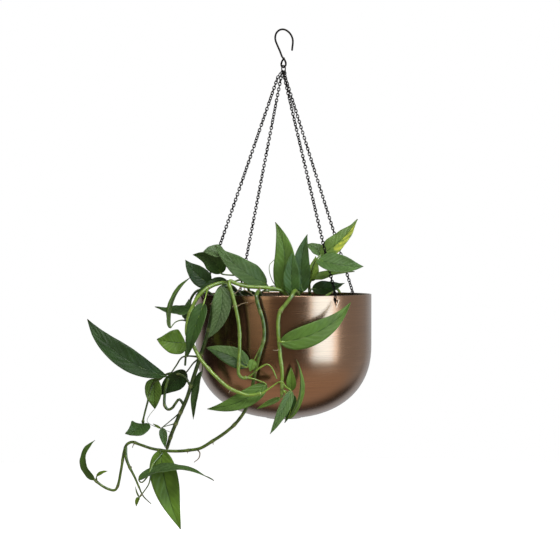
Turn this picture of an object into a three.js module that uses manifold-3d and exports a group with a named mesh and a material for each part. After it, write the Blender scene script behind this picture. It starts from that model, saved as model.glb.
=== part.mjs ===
/*
 * Potted cebu blue pothos in a hanging bowl.
 *
 * A brushed copper-bronze bowl hangs by four fine black chains from an oval ring, and the ring
 * from the eye of a wire hook. The bowl holds a plastic nursery pot of soil, and the vines stand
 * in the soil, climb over the rim and trail down, most of them to the left.
 *
 * Millimetres, +Z up. The origin is the underside of the hook's crown, where the hook bears on
 * what holds it up. +X is to the right seen from the front, +Y is away from the front.
 */
import * as THREE from 'three';
import { mergeVertices } from 'three/addons/utils/BufferGeometryUtils.js';
import Module from 'manifold-3d';

const wasm = await Module();
wasm.setup();

// Driving dimensions of the holder
const BOWL = {
  rimZ: -330,
  radius: 110,
  height: 155,
  sideHeight: 63,
  wall: 1.2,
  hemWall: 1.8,
  hemHeight: 2.6,
  baseRadius: 22,
  squareness: 2.3,
  segments: 36,
  holeRadius: 2.0,
  holeDrop: 6,
};
const NURSERY_POT = {
  rimZ: -344,
  baseZ: -471.1,
  rimRadius: 97,
  topRadius: 94.5,
  baseRadius: 62,
  lipHeight: 5,
  wall: 1.2,
  floor: 1.6,
  drainRadius: 4,
  drainCircle: 44,
  drains: 6,
  segments: 24,
};
const SOIL = { crownZ: -349, edgeZ: -354, clearance: 0.3 };

// Heights at which every stem stands upright in its hole
const FOOT_HEIGHTS = [-374, -361, -348, -341];
const HOOK = { wire: 1.9, crownRadius: 10.5, eyeTurn: -38, eyeHalfWidth: 3.75, eyeBottomZ: -46.7 };
const RING = {
  wire: 1.3,
  halfWidth: 3.6,
  halfHeight: 4.2,
  turn: 52,
  squareness: 2.4,
  clearance: 0.5,
};
const CHAIN = {
  azimuths: { front_left: 206.5, front_right: -56, back_left: 121.5, back_right: 35 },
  lean: { front_left: -3, front_right: 0, back_left: -2.2, back_right: -1.1 },
  leanLength: 7,
  linkLength: 5.5,
  linkWidth: 4.2,
  wire: 0.95,
  swellPitch: 5.4,
  halfWaist: 0.6,
  endInset: 1.9,
  ringSpacing: 1.6,
  clearance: 0.5,
};
const RIM_LINK = { wire: 1.1, halfHeight: 3.7, halfWidth: 2.3, clearance: 0.6 };

// Thickness of every leaf blade, and how many rows of points run along it
const LEAF = { thickness: 0.8, rows: [0.06, 0.18, 0.35, 0.57, 0.8, 1], tipHalfWidth: 0.45 };
const STALK = { thickEnd: 1.15, thinEnd: 0.75, stepLength: 15, fewestSteps: 2, intoBlade: 4 };
const STEM = { sides: 6, branchSides: 5, stepLength: 17 };

const RADIANS = Math.PI / 180;

function finish(color, roughness, metalness = 0) {
  return new THREE.MeshStandardMaterial({ color, roughness, metalness });
}

const FINISHES = {
  bronze: finish(0x7d4f38, 0.32, 1),
  blackMetal: finish(0x24211f, 0.5, 0.8),
  blackPlastic: finish(0x1b1b1c, 0.6),
  soil: finish(0x33261c, 0.95),
  leaf: finish(0x4c7550, 0.5),
  paleVine: finish(0x86a83a, 0.5),
};

function vector(point) {
  return new THREE.Vector3(...point);
}

function alongAzimuth(degrees) {
  return new THREE.Vector3(Math.cos(degrees * RADIANS), Math.sin(degrees * RADIANS), 0);
}

// Solids: a geometry keeps only its positions, so that its shared corners merge
function toSolid(geometry) {
  const bare = new THREE.BufferGeometry();
  bare.setAttribute('position', geometry.getAttribute('position').clone());
  if (geometry.index) bare.setIndex(geometry.index.clone());
  const merged = mergeVertices(bare, 1e-4);
  return new wasm.Manifold(new wasm.Mesh({
    numProp: 3,
    vertProperties: new Float32Array(merged.getAttribute('position').array),
    triVerts: new Uint32Array(merged.index.array),
  }));
}

function toGeometry(solid) {
  const mesh = solid.getMesh();
  const geometry = new THREE.BufferGeometry();
  geometry.setAttribute('position', new THREE.BufferAttribute(mesh.vertProperties, 3));
  geometry.setIndex(new THREE.BufferAttribute(mesh.triVerts, 1));
  geometry.computeVertexNormals();
  return geometry;
}

function fuse(geometries) {
  return geometries.map(toSolid).reduce((whole, solid) => whole.add(solid));
}

function meshOf(name, solid, material) {
  const mesh = new THREE.Mesh(toGeometry(solid), material);
  mesh.name = name;
  return mesh;
}

// Rings of points joined into a skin. Each ring holds the same number of points, and the skin
// is closed by a fan over its first and last ring, or by joining the last ring to the first.
function skin(rings, closedLoop = false) {
  const count = rings[0].length;
  const positions = rings.flat().flatMap((point) => [point.x, point.y, point.z]);
  const faces = [];
  const spans = closedLoop ? rings.length : rings.length - 1;
  for (let row = 0; row < spans; row += 1) {
    const here = row * count;
    const next = ((row + 1) % rings.length) * count;
    for (let side = 0; side < count; side += 1) {
      const other = (side + 1) % count;
      faces.push(here + side, here + other, next + other);
      faces.push(here + side, next + other, next + side);
    }
  }
  if (!closedLoop) {
    const last = (rings.length - 1) * count;
    for (let side = 1; side < count - 1; side += 1) {
      faces.push(0, side + 1, side);
      faces.push(last, last + side, last + side + 1);
    }
  }
  const geometry = new THREE.BufferGeometry();
  geometry.setAttribute('position', new THREE.Float32BufferAttribute(positions, 3));
  geometry.setIndex(faces);
  return geometry;
}

function smoothCurve(points) {
  return new THREE.CatmullRomCurve3(points.map(vector), false, 'centripetal');
}

// Rings of points round a curve at the given parts of its length. The first ring's points are
// counted from the direction of across, which is then carried along without turning.
function barRings(curve, parts, radiusAt, degrees, across) {
  let side = across;
  return parts.map((part) => {
    const tangent = curve.getTangentAt(part);
    side = side.clone().addScaledVector(tangent, -side.dot(tangent)).normalize();
    const other = new THREE.Vector3().crossVectors(tangent, side);
    const centre = curve.getPointAt(part);
    return degrees.map((turn) => centre.clone()
      .addScaledVector(side, radiusAt(part) * Math.cos(turn * RADIANS))
      .addScaledVector(other, radiusAt(part) * Math.sin(turn * RADIANS)));
  });
}

function evenly(count) {
  return Array.from({ length: count + 1 }, (_, step) => step / count);
}

function roundTurn(sides) {
  return Array.from({ length: sides }, (_, side) => (side / sides) * 360);
}

// A closed oval of wire: its flat shape is a superellipse in the plane of up and across
function wireOval({ centre, up, across, halfHeight, halfWidth, wire, squareness = 2, segments, sides }) {
  const normal = new THREE.Vector3().crossVectors(up, across);
  const power = 2 / squareness;
  const place = (angle) => {
    const cosine = Math.cos(angle);
    const sine = Math.sin(angle);
    return centre.clone()
      .addScaledVector(across, halfWidth * Math.sign(cosine) * Math.abs(cosine) ** power)
      .addScaledVector(up, halfHeight * Math.sign(sine) * Math.abs(sine) ** power);
  };
  const rings = [];
  for (let segment = 0; segment < segments; segment += 1) {
    const angle = ((segment + 0.5) / segments) * 2 * Math.PI;
    const centreLine = place(angle);
    const tangent = place(angle + 0.02).sub(place(angle - 0.02)).normalize();
    const outward = new THREE.Vector3().crossVectors(normal, tangent);
    const ring = [];
    for (let side = 0; side < sides; side += 1) {
      const turn = (side / sides) * 2 * Math.PI;
      ring.push(centreLine.clone()
        .addScaledVector(outward, (wire / 2) * Math.cos(turn))
        .addScaledVector(normal, (wire / 2) * Math.sin(turn)));
    }
    rings.push(ring);
  }
  return skin(rings, true);
}

// A turned body: the profile is a list of [radius, z] that starts and ends on the axis
function turned(profile, segments) {
  const points = profile.map(([radius, z]) => new THREE.Vector2(radius, z));
  return new THREE.LatheGeometry(points, segments).rotateX(Math.PI / 2);
}

// The curved half of the bowl, from the end of its straight side down to its flat base
function bowlCurve(radius, height, steps) {
  const depth = height - BOWL.sideHeight;
  const power = 2 / BOWL.squareness;
  const points = [];
  for (let step = 0; step <= steps; step += 1) {
    const angle = (step / steps) * (Math.PI / 2);
    const across = radius * Math.cos(angle) ** power;
    if (across <= BOWL.baseRadius * 1.3) break;
    points.push([across, BOWL.rimZ - BOWL.sideHeight - depth * Math.sin(angle) ** power]);
  }
  points.push([BOWL.baseRadius, BOWL.rimZ - height]);
  return points;
}

function makeBowl() {
  const innerRadius = BOWL.radius - BOWL.wall;
  const outside = bowlCurve(BOWL.radius, BOWL.height, 6).reverse();
  const inside = bowlCurve(innerRadius, BOWL.height - BOWL.wall, 6);
  const hemRadius = BOWL.radius - BOWL.hemWall;
  const profile = [
    [0, BOWL.rimZ - BOWL.height],
    ...outside,
    [BOWL.radius, BOWL.rimZ],
    [hemRadius, BOWL.rimZ],
    [hemRadius, BOWL.rimZ - BOWL.hemHeight],
    [innerRadius, BOWL.rimZ - BOWL.hemHeight - 0.8],
    ...inside,
    [0, BOWL.rimZ - BOWL.height + BOWL.wall],
  ];
  let bowl = toSolid(turned(profile, BOWL.segments));
  for (const azimuth of Object.values(CHAIN.azimuths)) {
    const drill = new THREE.CylinderGeometry(BOWL.holeRadius, BOWL.holeRadius, 12, 12)
      .rotateZ(Math.PI / 2)
      .translate(BOWL.radius, 0, BOWL.rimZ - BOWL.holeDrop)
      .rotateZ(azimuth * RADIANS);
    bowl = bowl.subtract(toSolid(drill));
  }
  return meshOf('bowl', bowl, FINISHES.bronze);
}

function makeNurseryPot() {
  const { rimZ, baseZ, rimRadius, topRadius, baseRadius, wall, floor, lipHeight } = NURSERY_POT;
  const profile = [
    [0, baseZ],
    [baseRadius, baseZ],
    [topRadius, rimZ - lipHeight],
    [rimRadius, rimZ - lipHeight],
    [rimRadius, rimZ],
    [topRadius - wall, rimZ],
    [baseRadius - wall, baseZ + floor],
    [0, baseZ + floor],
  ];
  let pot = toSolid(turned(profile, NURSERY_POT.segments));
  for (let drain = 0; drain < NURSERY_POT.drains; drain += 1) {
    const drill = new THREE.CylinderGeometry(NURSERY_POT.drainRadius, NURSERY_POT.drainRadius, 8, 6)
      .rotateX(Math.PI / 2)
      .translate(NURSERY_POT.drainCircle, 0, baseZ)
      .rotateZ((drain / NURSERY_POT.drains) * 2 * Math.PI);
    pot = pot.subtract(toSolid(drill));
  }
  return meshOf('nursery_pot', pot, FINISHES.blackPlastic);
}

// The soil fills the nursery pot, is a little higher in the middle, and has a hole for each stem
function makeSoil(vines) {
  const { rimZ, baseZ, topRadius, baseRadius, wall, floor } = NURSERY_POT;
  const bottomZ = baseZ + floor + SOIL.clearance;
  const bottomRadius = baseRadius - wall - SOIL.clearance * 1.6;
  const slope = (topRadius - baseRadius) / (rimZ - baseZ - floor);
  const edgeRadius = bottomRadius + slope * (SOIL.edgeZ - bottomZ);
  const profile = [
    [0, bottomZ],
    [bottomRadius, bottomZ],
    [edgeRadius, SOIL.edgeZ],
    [edgeRadius * 0.72, SOIL.edgeZ + 3.2],
    [edgeRadius * 0.35, SOIL.crownZ - 0.6],
    [0, SOIL.crownZ],
  ];
  let soil = toSolid(turned(profile, NURSERY_POT.segments));
  for (const { root, radius } of vines) {
    const holeRadius = radius[0] + 2.5 * SOIL.clearance;
    const height = 60;
    const drill = new THREE.CylinderGeometry(holeRadius, holeRadius, height, 8)
      .rotateX(Math.PI / 2)
      .translate(root[0], root[1], FOOT_HEIGHTS[0] - SOIL.clearance + height / 2);
    soil = soil.subtract(toSolid(drill));
  }
  return meshOf('soil', soil, FINISHES.soil);
}

// The hook: free end, crown, slanting shank, then an eye that is twisted round to face the ring
function makeHook() {
  const { crownRadius, eyeHalfWidth, eyeBottomZ, eyeTurn, wire } = HOOK;
  const crownZ = wire / 2;
  const centreZ = crownZ - crownRadius;
  const points = [[9.9, 0, -25.7], [10.7, 0, -17]];
  for (let angle = 0; angle <= 180; angle += 20) {
    const turn = angle * RADIANS;
    points.push([crownRadius * Math.cos(turn), 0, centreZ + crownRadius * Math.sin(turn)]);
  }
  points.push([-9.4, 0, -18.5], [-5.6, 0, -26.4], [-1.9, 0, -33.8]);
  const across = alongAzimuth(eyeTurn);
  const behind = alongAzimuth(eyeTurn + 90);
  const eye = [
    [0.55, 0.1, -38.2],
    [0.97, 0, -42.0],
    [0.84, 0, -44.8],
    [0, 0, eyeBottomZ],
    [-0.84, 0, -44.8],
    [-0.97, 0.1, -42.0],
    [-0.72, 0.9, -38.4],
    [-0.3, 2.3, -35.2],
    [-0.2, 2.6, -33.9],
  ];
  for (const [sideways, backwards, z] of eye) {
    const place = across.clone().multiplyScalar(sideways * eyeHalfWidth).addScaledVector(behind, backwards);
    points.push([place.x, place.y, z]);
  }
  const rings = barRings(smoothCurve(points), evenly(44), () => wire / 2, roundTurn(6), vector([0, 1, 0]));
  return meshOf('hook', toSolid(skin(rings)), FINISHES.blackMetal);
}

const RING_TOP_Z = HOOK.eyeBottomZ + HOOK.wire / 2 + RING.wire / 2 + RING.clearance;
const RING_CENTRE_Z = RING_TOP_Z - RING.halfHeight;
const UP = new THREE.Vector3(0, 0, 1);

function makeRing() {
  const oval = wireOval({
    centre: new THREE.Vector3(0, 0, RING_CENTRE_Z),
    up: UP,
    across: alongAzimuth(RING.turn),
    halfHeight: RING.halfHeight,
    halfWidth: RING.halfWidth,
    wire: RING.wire,
    squareness: RING.squareness,
    segments: 22,
    sides: 6,
  });
  return meshOf('ring', toSolid(oval), FINISHES.blackMetal);
}

// Where a chain hangs on the lower arc of the ring, and the direction of the ring's wire there
function ringSeat(offset) {
  const part = Math.abs(offset) / RING.halfWidth;
  const drop = (1 - part ** RING.squareness) ** (1 / RING.squareness);
  const slope = (RING.halfHeight / RING.halfWidth) * part ** (RING.squareness - 1)
    * drop ** (1 - RING.squareness);
  const across = alongAzimuth(RING.turn);
  return {
    place: across.clone().multiplyScalar(offset)
      .add(new THREE.Vector3(0, 0, RING_CENTRE_Z - RING.halfHeight * drop)),
    tangent: across.clone().addScaledVector(UP, Math.sign(offset) * slope).normalize(),
  };
}

// The four chains, in the order in which they hang along the ring
const CHAIN_ORDER = ['front_left', 'front_right', 'back_left', 'back_right'];

function rimLinkPlaces(azimuth) {
  const outward = alongAzimuth(azimuth);
  const holeTopZ = BOWL.rimZ - BOWL.holeDrop + BOWL.holeRadius;
  const bottomZ = holeTopZ - RIM_LINK.wire / 2 - RIM_LINK.clearance;
  const centre = outward.clone().multiplyScalar(BOWL.radius - BOWL.hemWall / 2)
    .setZ(bottomZ + RIM_LINK.halfHeight);
  const top = centre.clone().setZ(bottomZ + 2 * RIM_LINK.halfHeight);
  return { outward, centre, top };
}

function makeRimLink(name) {
  const { outward, centre } = rimLinkPlaces(CHAIN.azimuths[name]);
  const oval = wireOval({
    centre,
    up: UP,
    across: outward,
    halfHeight: RIM_LINK.halfHeight,
    halfWidth: RIM_LINK.halfWidth,
    wire: RIM_LINK.wire,
    squareness: 2.4,
    segments: 12,
    sides: 4,
  });
  return meshOf(`rim_link_${name}`, toSolid(oval), FINISHES.blackMetal);
}

// One chain: a true open link at each end, and between them a bar that swells and narrows along
// its way as the links do, first in one direction and then in the other. The links crowd on the
// ring and push one another aside, so each chain leans over before it runs straight to its hole.
function makeChain(name) {
  const offset = (CHAIN_ORDER.indexOf(name) - 1.5) * CHAIN.ringSpacing;
  const { place, tangent } = ringSeat(offset);
  const { outward, top } = rimLinkPlaces(CHAIN.azimuths[name]);
  const down = top.clone().sub(place).normalize();
  const lean = new THREE.Vector3(CHAIN.lean[name], 0, 0);
  const first = down.clone().multiplyScalar(CHAIN.leanLength).add(lean).normalize();
  const halfLength = (CHAIN.linkLength - CHAIN.wire) / 2;
  const halfWidth = (CHAIN.linkWidth - CHAIN.wire) / 2;
  const upperReach = halfLength - CHAIN.wire / 2 - RING.wire / 2 - CHAIN.clearance;
  const lowerReach = halfLength - CHAIN.wire / 2 - RIM_LINK.wire / 2 - RIM_LINK.clearance;
  const square = (direction, axis) => direction.clone()
    .addScaledVector(axis, -direction.dot(axis)).normalize();
  const upperNormal = square(tangent, down);
  const lowerNormal = square(outward, down);
  const upperCentre = place.clone().addScaledVector(first, upperReach);
  const lowerCentre = top.clone().addScaledVector(down, -lowerReach);
  const endLink = (centre, up, normal) => wireOval({
    centre,
    up,
    across: new THREE.Vector3().crossVectors(up, square(normal, up)),
    halfHeight: halfLength,
    halfWidth,
    wire: CHAIN.wire,
    segments: 12,
    sides: 4,
  });
  const run = lowerCentre.clone().sub(upperCentre);
  const length = run.length();
  const count = Math.round(length / CHAIN.swellPitch) - 1;
  const turning = new THREE.Vector3().crossVectors(upperNormal, lowerNormal);
  const spin = Math.sign(turning.dot(down)) * upperNormal.angleTo(lowerNormal);
  const rings = evenly(count + 1).map((part, link) => {
    const isEnd = link === 0 || link === count + 1;
    const inset = (part < 0.5 ? 1 : -1) * (isEnd ? CHAIN.endInset : 0);
    const distance = part * length + inset;
    const straightening = (length - distance) / (length - CHAIN.leanLength);
    const centre = upperCentre.clone().addScaledVector(run, distance / length)
      .addScaledVector(lean, Math.min(distance / CHAIN.leanLength, straightening));
    const normal = upperNormal.clone().applyAxisAngle(down, spin * part);
    const across = new THREE.Vector3().crossVectors(down, normal);
    const wide = isEnd || link % 2 === 1 ? CHAIN.halfWaist : CHAIN.linkWidth / 2;
    const deep = !isEnd && link % 2 === 1 ? CHAIN.linkWidth / 2 : CHAIN.halfWaist;
    return [
      centre.clone().addScaledVector(normal, deep),
      centre.clone().addScaledVector(across, wide),
      centre.clone().addScaledVector(normal, -deep),
      centre.clone().addScaledVector(across, -wide),
    ];
  });
  const chain = fuse([
    skin(rings),
    endLink(upperCentre, first, upperNormal),
    endLink(lowerCentre, down, lowerNormal),
  ]);
  return meshOf(`chain_${name}`, chain, FINISHES.blackMetal);
}

/*
 * Leaves. A blade is a lance: round at its base, widest at a third, drawn out to a long tip.
 * base and tip are its ends, face is the way its upper side looks, arch lifts the midrib towards
 * that side, sweep bends it sideways, fold raises its two halves and twist turns it on its way.
 */
function bladeFrame(leaf, u) {
  const base = vector(leaf.base);
  const chord = vector(leaf.tip).sub(base);
  const length = chord.length();
  const along = chord.clone().normalize();
  const facing = vector(leaf.face ?? [0, -1, 0.2]);
  facing.addScaledVector(along, -facing.dot(along)).normalize();
  const across = new THREE.Vector3().crossVectors(along, facing);
  const arch = (leaf.arch ?? 0.06) * length;
  const sweep = (leaf.sweep ?? 0) * length;
  const bulge = 4 * u * (1 - u);
  const slope = (4 * (1 - 2 * u)) / length;
  const centre = base.clone().addScaledVector(along, u * length)
    .addScaledVector(facing, arch * bulge).addScaledVector(across, sweep * bulge);
  const tangent = along.clone().addScaledVector(facing, arch * slope)
    .addScaledVector(across, sweep * slope).normalize();
  const normal = facing.clone().addScaledVector(tangent, -facing.dot(tangent)).normalize();
  normal.applyAxisAngle(tangent, (leaf.twist ?? 0) * RADIANS * (u - 0.3));
  return { centre, tangent, normal, across: new THREE.Vector3().crossVectors(tangent, normal) };
}

function bladeHalfWidth(leaf, u) {
  const shape = (u ** 0.5) * ((1 - u) ** 1.05);
  const widest = (0.3226 ** 0.5) * (0.6774 ** 1.05);
  return Math.max((leaf.width / 2) * (shape / widest), LEAF.tipHalfWidth);
}

// The six points round a blade at u: left, midrib and right above, then the same below
function bladeRing(leaf, u) {
  const fold = (leaf.fold ?? 14) * RADIANS;
  const half = LEAF.thickness / 2;
  const { centre, normal, across } = bladeFrame(leaf, u);
  const reach = bladeHalfWidth(leaf, u);
  const place = (sideways, lift) => centre.clone()
    .addScaledVector(across, sideways * reach * Math.cos(fold))
    .addScaledVector(normal, Math.abs(sideways) * reach * Math.sin(fold) + lift);
  return [
    ...[-1, 0, 1].map((sideways) => place(sideways, half)),
    ...[1, 0, -1].map((sideways) => place(sideways, -half)),
  ];
}

// The stalk leaves the nearest stem, follows its own points and runs on into the midrib. Its
// rings hold six points as the blade's do, turned so that they meet the blade's without a twist.
function stalkRings(leaf, stems) {
  const reach = STALK.intoBlade / vector(leaf.base).distanceTo(vector(leaf.tip));
  const places = [...leaf.stalk, leaf.base].map(vector);
  places[0] = nearestOnStems(places[0], stems);
  places.push(bladeFrame(leaf, Math.min(reach, LEAF.rows[0] * 0.6)).centre);
  const curve = new THREE.CatmullRomCurve3(places, false, 'centripetal');
  const steps = Math.max(STALK.fewestSteps, Math.round(curve.getLength() / STALK.stepLength));
  const scale = Math.min(1, 0.5 + leaf.width / 50);
  const radiusAt = (part) => scale * THREE.MathUtils.lerp(STALK.thickEnd, STALK.thinEnd, part);
  const fromBlade = evenly(steps).reverse();
  const turns = [-150, -90, -30, 30, 90, 150];
  return barRings(curve, fromBlade, radiusAt, turns, bladeFrame(leaf, 0).across).reverse();
}

// A leaf with its stalk is one skin. Its upper and lower sides are split into like triangles.
function makeLeaf(leaf, stems) {
  const rings = [...stalkRings(leaf, stems), ...LEAF.rows.map((u) => bladeRing(leaf, u))];
  const positions = rings.flat().flatMap((point) => [point.x, point.y, point.z]);
  const faces = [];
  const quad = (a, b, c, d) => faces.push(a, b, c, a, c, d);
  for (let row = 0; row < rings.length - 1; row += 1) {
    const here = row * 6;
    const next = here + 6;
    quad(here + 1, next + 1, next, here);
    quad(next + 2, next + 1, here + 1, here + 2);
    quad(here + 4, here + 5, next + 5, next + 4);
    quad(next + 3, here + 3, here + 4, next + 4);
    quad(here, next, next + 5, here + 5);
    quad(here + 3, next + 3, next + 2, here + 2);
  }
  const last = (rings.length - 1) * 6;
  quad(0, 5, 4, 1);
  quad(1, 4, 3, 2);
  quad(last, last + 1, last + 4, last + 5);
  quad(last + 1, last + 2, last + 3, last + 4);
  const geometry = new THREE.BufferGeometry();
  geometry.setAttribute('position', new THREE.Float32BufferAttribute(positions, 3));
  geometry.setIndex(faces);
  return geometry;
}

function nearestOnStems(point, stems) {
  let best = point;
  let bestDistance = Infinity;
  for (const curve of stems) {
    for (const place of curve.getSpacedPoints(160)) {
      const distance = place.distanceTo(point);
      if (distance < bestDistance) {
        bestDistance = distance;
        best = place;
      }
    }
  }
  return best;
}

// A stem or root, thick at one end and thin at the other. The part that stands in the soil is
// straight and needs only its two end rings.
function makeStem(curve, [thick, thin], sides, straight = 0) {
  const length = curve.getLength();
  const steps = Math.max(4, Math.round((length - straight) / STEM.stepLength));
  const bent = evenly(steps).map((part) => THREE.MathUtils.lerp(straight / length, 1, part));
  const parts = straight > 0 ? [0, ...bent] : bent;
  const across = Math.abs(curve.getTangentAt(0).x) > 0.8 ? vector([0, 1, 0]) : vector([1, 0, 0]);
  const radiusAt = (part) => THREE.MathUtils.lerp(thick, thin, part);
  return skin(barRings(curve, parts, radiusAt, roundTurn(sides), across));
}

// A vine: its main stem, any side stems and roots, and its leaves on their stalks, in one body
function makeVine(vine) {
  const [x, y] = vine.root;
  const main = smoothCurve([...FOOT_HEIGHTS.map((z) => [x, y, z]), ...vine.path]);
  const stems = [main];
  const upright = FOOT_HEIGHTS[FOOT_HEIGHTS.length - 2] - FOOT_HEIGHTS[0];
  const pieces = [makeStem(main, vine.radius, STEM.sides, upright)];
  for (const branch of vine.branches ?? []) {
    const points = branch.path.map(vector);
    points[0] = nearestOnStems(points[0], stems);
    const curve = new THREE.CatmullRomCurve3(points, false, 'centripetal');
    stems.push(curve);
    pieces.push(makeStem(curve, branch.radius, STEM.branchSides));
  }
  for (const leaf of vine.leaves) {
    pieces.push(makeLeaf(leaf, stems));
  }
  return meshOf(vine.name, fuse(pieces), FINISHES[vine.finish ?? 'leaf']);
}

/*
 * The vines. Every stem stands upright in its hole in the soil, at root, and then follows its
 * path. Points, bases and tips are places in mm in the frame above; width is the blade's, in
 * mm, and angles are in degrees.
 */
const VINES = [
  {
    name: 'vine_left_main',
    radius: [2.8, 2.2],
    root: [-40, -40],
    path: [
      [-50, -60, -334], [-64, -80, -319], [-75, -91, -321], [-82, -97, -336],
      [-86, -96, -356.5], [-91.5, -93, -379], [-99.5, -88, -403], [-108, -84, -428.5],
      [-116, -79, -453], [-126.5, -72, -476.5], [-135.5, -65, -498], [-142.5, -52, -518],
    ],
    branches: [
      // Young shoot that loops under and comes up to the long leaf on the left
      {
        radius: [1.6, 1.9],
        path: [
          [-121, -76, -460.5], [-125.5, -76, -455], [-130, -76, -460], [-134, -75, -465.5],
          [-139, -74, -467.5], [-143, -74, -463], [-143.5, -73, -453.5], [-142, -73, -441.5],
          [-138.5, -73, -428.5],
        ],
      },
      // Side stem that carries the two leaves of the lower left
      {
        radius: [1.5, 1.1],
        path: [
          [-113.5, -79, -438.5], [-118.5, -77, -428], [-127, -74, -424.5], [-139, -72, -424.5],
          [-149, -70, -431], [-157.5, -68, -437], [-161, -69, -445.5], [-164, -69, -458.5],
          [-168, -68, -473.5], [-170.5, -67, -484.5],
        ],
      },
    ],
    leaves: [
      {
        stalk: [[-68, -85, -318], [-71, -93, -316]],
        base: [-74, -99, -320], tip: [-90, -103, -380.5], width: 23, face: [-0.1, -0.95, 0.3],
        sweep: -0.13, fold: 8, twist: 15,
      },
      {
        stalk: [[-100, -88, -405], [-108, -78, -411]],
        base: [-117.5, -68, -423], tip: [-149.5, -64, -451], width: 26, face: [0.2, -0.9, -0.4],
        sweep: 0.07, twist: 32,
      },
      {
        stalk: [[-99, -88, -400], [-97, -82, -411]],
        base: [-98, -77, -421.5], tip: [-109, -74, -479.5], width: 15, face: [-0.75, -0.65, 0.1],
        sweep: -0.04, fold: 30, twist: -30,
      },
      {
        stalk: [[-149, -70, -431]],
        base: [-156, -67, -431], tip: [-156, -64, -468], width: 23, face: [-0.2, -1, 0.1],
        fold: 24, twist: -26,
      },
      {
        stalk: [[-170, -67, -482]],
        base: [-170, -66, -485.5], tip: [-189.5, -86, -495], width: 26, face: [0.2, -0.5, 0.85],
        sweep: -0.16, twist: -50,
      },
      {
        stalk: [[-99.5, -88, -403], [-120.5, -84, -403.5], [-129, -79, -414.5], [-135.5, -75, -423.5]],
        base: [-140.5, -72, -428], tip: [-237, -66, -359], width: 30, face: [0.5, -0.65, 0.55],
        sweep: -0.13, arch: 0.04,
      },
      {
        stalk: [[-124, -74, -471], [-137, -69, -482]],
        base: [-147, -66, -491], tip: [-143, -69, -514], width: 10, face: [0.2, -1, 0],
      },
      {
        stalk: [[-137, -69, -482], [-146, -66.5, -489.5]],
        base: [-149, -66, -491], tip: [-158, -66, -485.5], width: 3, face: [0, -1, 0.2],
      },
    ],
  },
  {
    name: 'vine_arch_left',
    finish: 'paleVine',
    radius: [2.4, 2.0],
    root: [-52, -48],
    path: [
      [-60, -60, -332], [-69.5, -74, -315.5], [-83.5, -82, -317.5], [-94, -88, -323.5],
      [-102, -91, -331.5], [-108.5, -92, -343.5], [-113.5, -93, -356.5], [-115, -95, -375.5],
      [-108.5, -97, -387], [-99, -103, -404], [-89, -108, -415.5], [-78.5, -113, -426],
      [-65, -119, -437], [-53.5, -123, -442], [-41.5, -125, -445.5], [-25.5, -126, -443.5],
    ],
    leaves: [
      {
        stalk: [[-90, -86, -321], [-92, -97, -329]],
        base: [-94.5, -104, -339], tip: [-113.5, -110, -402], width: 21, face: [-0.25, -0.95, 0.2],
        fold: 20,
      },
      {
        stalk: [[-25.5, -126, -443.5], [-16, -125.5, -437], [-3, -125, -429.5], [3, -125.5, -436]],
        base: [9, -126, -440.5], tip: [-16, -130, -490.5], width: 14, face: [0.3, -0.95, 0.1],
      },
    ],
  },
  {
    name: 'vine_left_side',
    radius: [1.9, 1.3],
    root: [-70, -22],
    path: [
      [-84, -29, -333], [-96, -35, -325.5], [-105, -40, -325], [-113, -46, -335],
      [-115.5, -51, -357], [-117.5, -54, -378], [-118.5, -58, -400], [-119.5, -60, -416],
    ],
    leaves: [
      {
        stalk: [[-116, -52, -362], [-124, -62, -360.5], [-131, -70, -363]],
        base: [-136.5, -74, -369.5], tip: [-112, -66, -308], width: 16, face: [-0.97, -0.18, -0.17],
        arch: 0.13, fold: 32, twist: 40,
      },
      {
        stalk: [[-114, -47, -342]],
        base: [-109, -56, -347], tip: [-155.5, -65, -344], width: 22, face: [0.17, -0.48, 0.86],
        arch: -0.12, twist: 10,
      },
      {
        stalk: [[-116, -51, -364]],
        base: [-121, -48, -359], tip: [-115.5, -50, -335], width: 11, face: [0, -1, 0.2],
        sweep: 0.04,
      },
      {
        stalk: [[-117, -54, -378], [-116, -60, -385]],
        base: [-119, -65, -387.5], tip: [-152.5, -74, -383], width: 32, face: [-0.1, -0.9, 0.4],
        sweep: -0.06, fold: 8, twist: -30,
      },
    ],
  },
  {
    name: 'shoot_upper_left',
    radius: [2.0, 1.3],
    root: [-35, -20],
    path: [[-40, -32, -330], [-48, -44, -314], [-56, -54, -302]],
    leaves: [
      {
        stalk: [[-38, -28, -336], [-26, -52, -326], [-19, -68, -321]],
        base: [-20.5, -75, -317], tip: [-82, -76, -271], width: 30, face: [0.15, -0.85, 0.5],
        sweep: -0.09, twist: -11,
      },
      {
        stalk: [[-56, -54, -302], [-60, -62, -294]],
        base: [-69.5, -68, -284], tip: [-96.5, -72, -277.5], width: 24, face: [0, -0.55, 0.84],
        arch: 0.09, sweep: 0.04, twist: -55,
      },
      {
        stalk: [[-54, -52, -305], [-63, -57, -306]],
        base: [-76, -60, -304], tip: [-110, -63, -281.5], width: 24, face: [0.1, -0.95, -0.3],
        sweep: 0.2, twist: -40,
      },
      {
        stalk: [[-50, -46, -311], [-70, -58, -316]],
        base: [-89, -64, -317], tip: [-119, -60, -287.5], width: 24, face: [0.1, -0.97, 0.2],
        sweep: -0.07, twist: 30,
      },
      {
        stalk: [[-46, -42, -317], [-58, -55, -315]],
        base: [-68.5, -60, -312.5], tip: [-107.5, -74, -334], width: 15, face: [0.15, -0.57, 0.81],
        arch: 0.14, twist: 13,
      },
    ],
  },
  {
    name: 'vine_rim_drop',
    finish: 'paleVine',
    radius: [2.3, 2.0],
    root: [18, -60],
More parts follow.
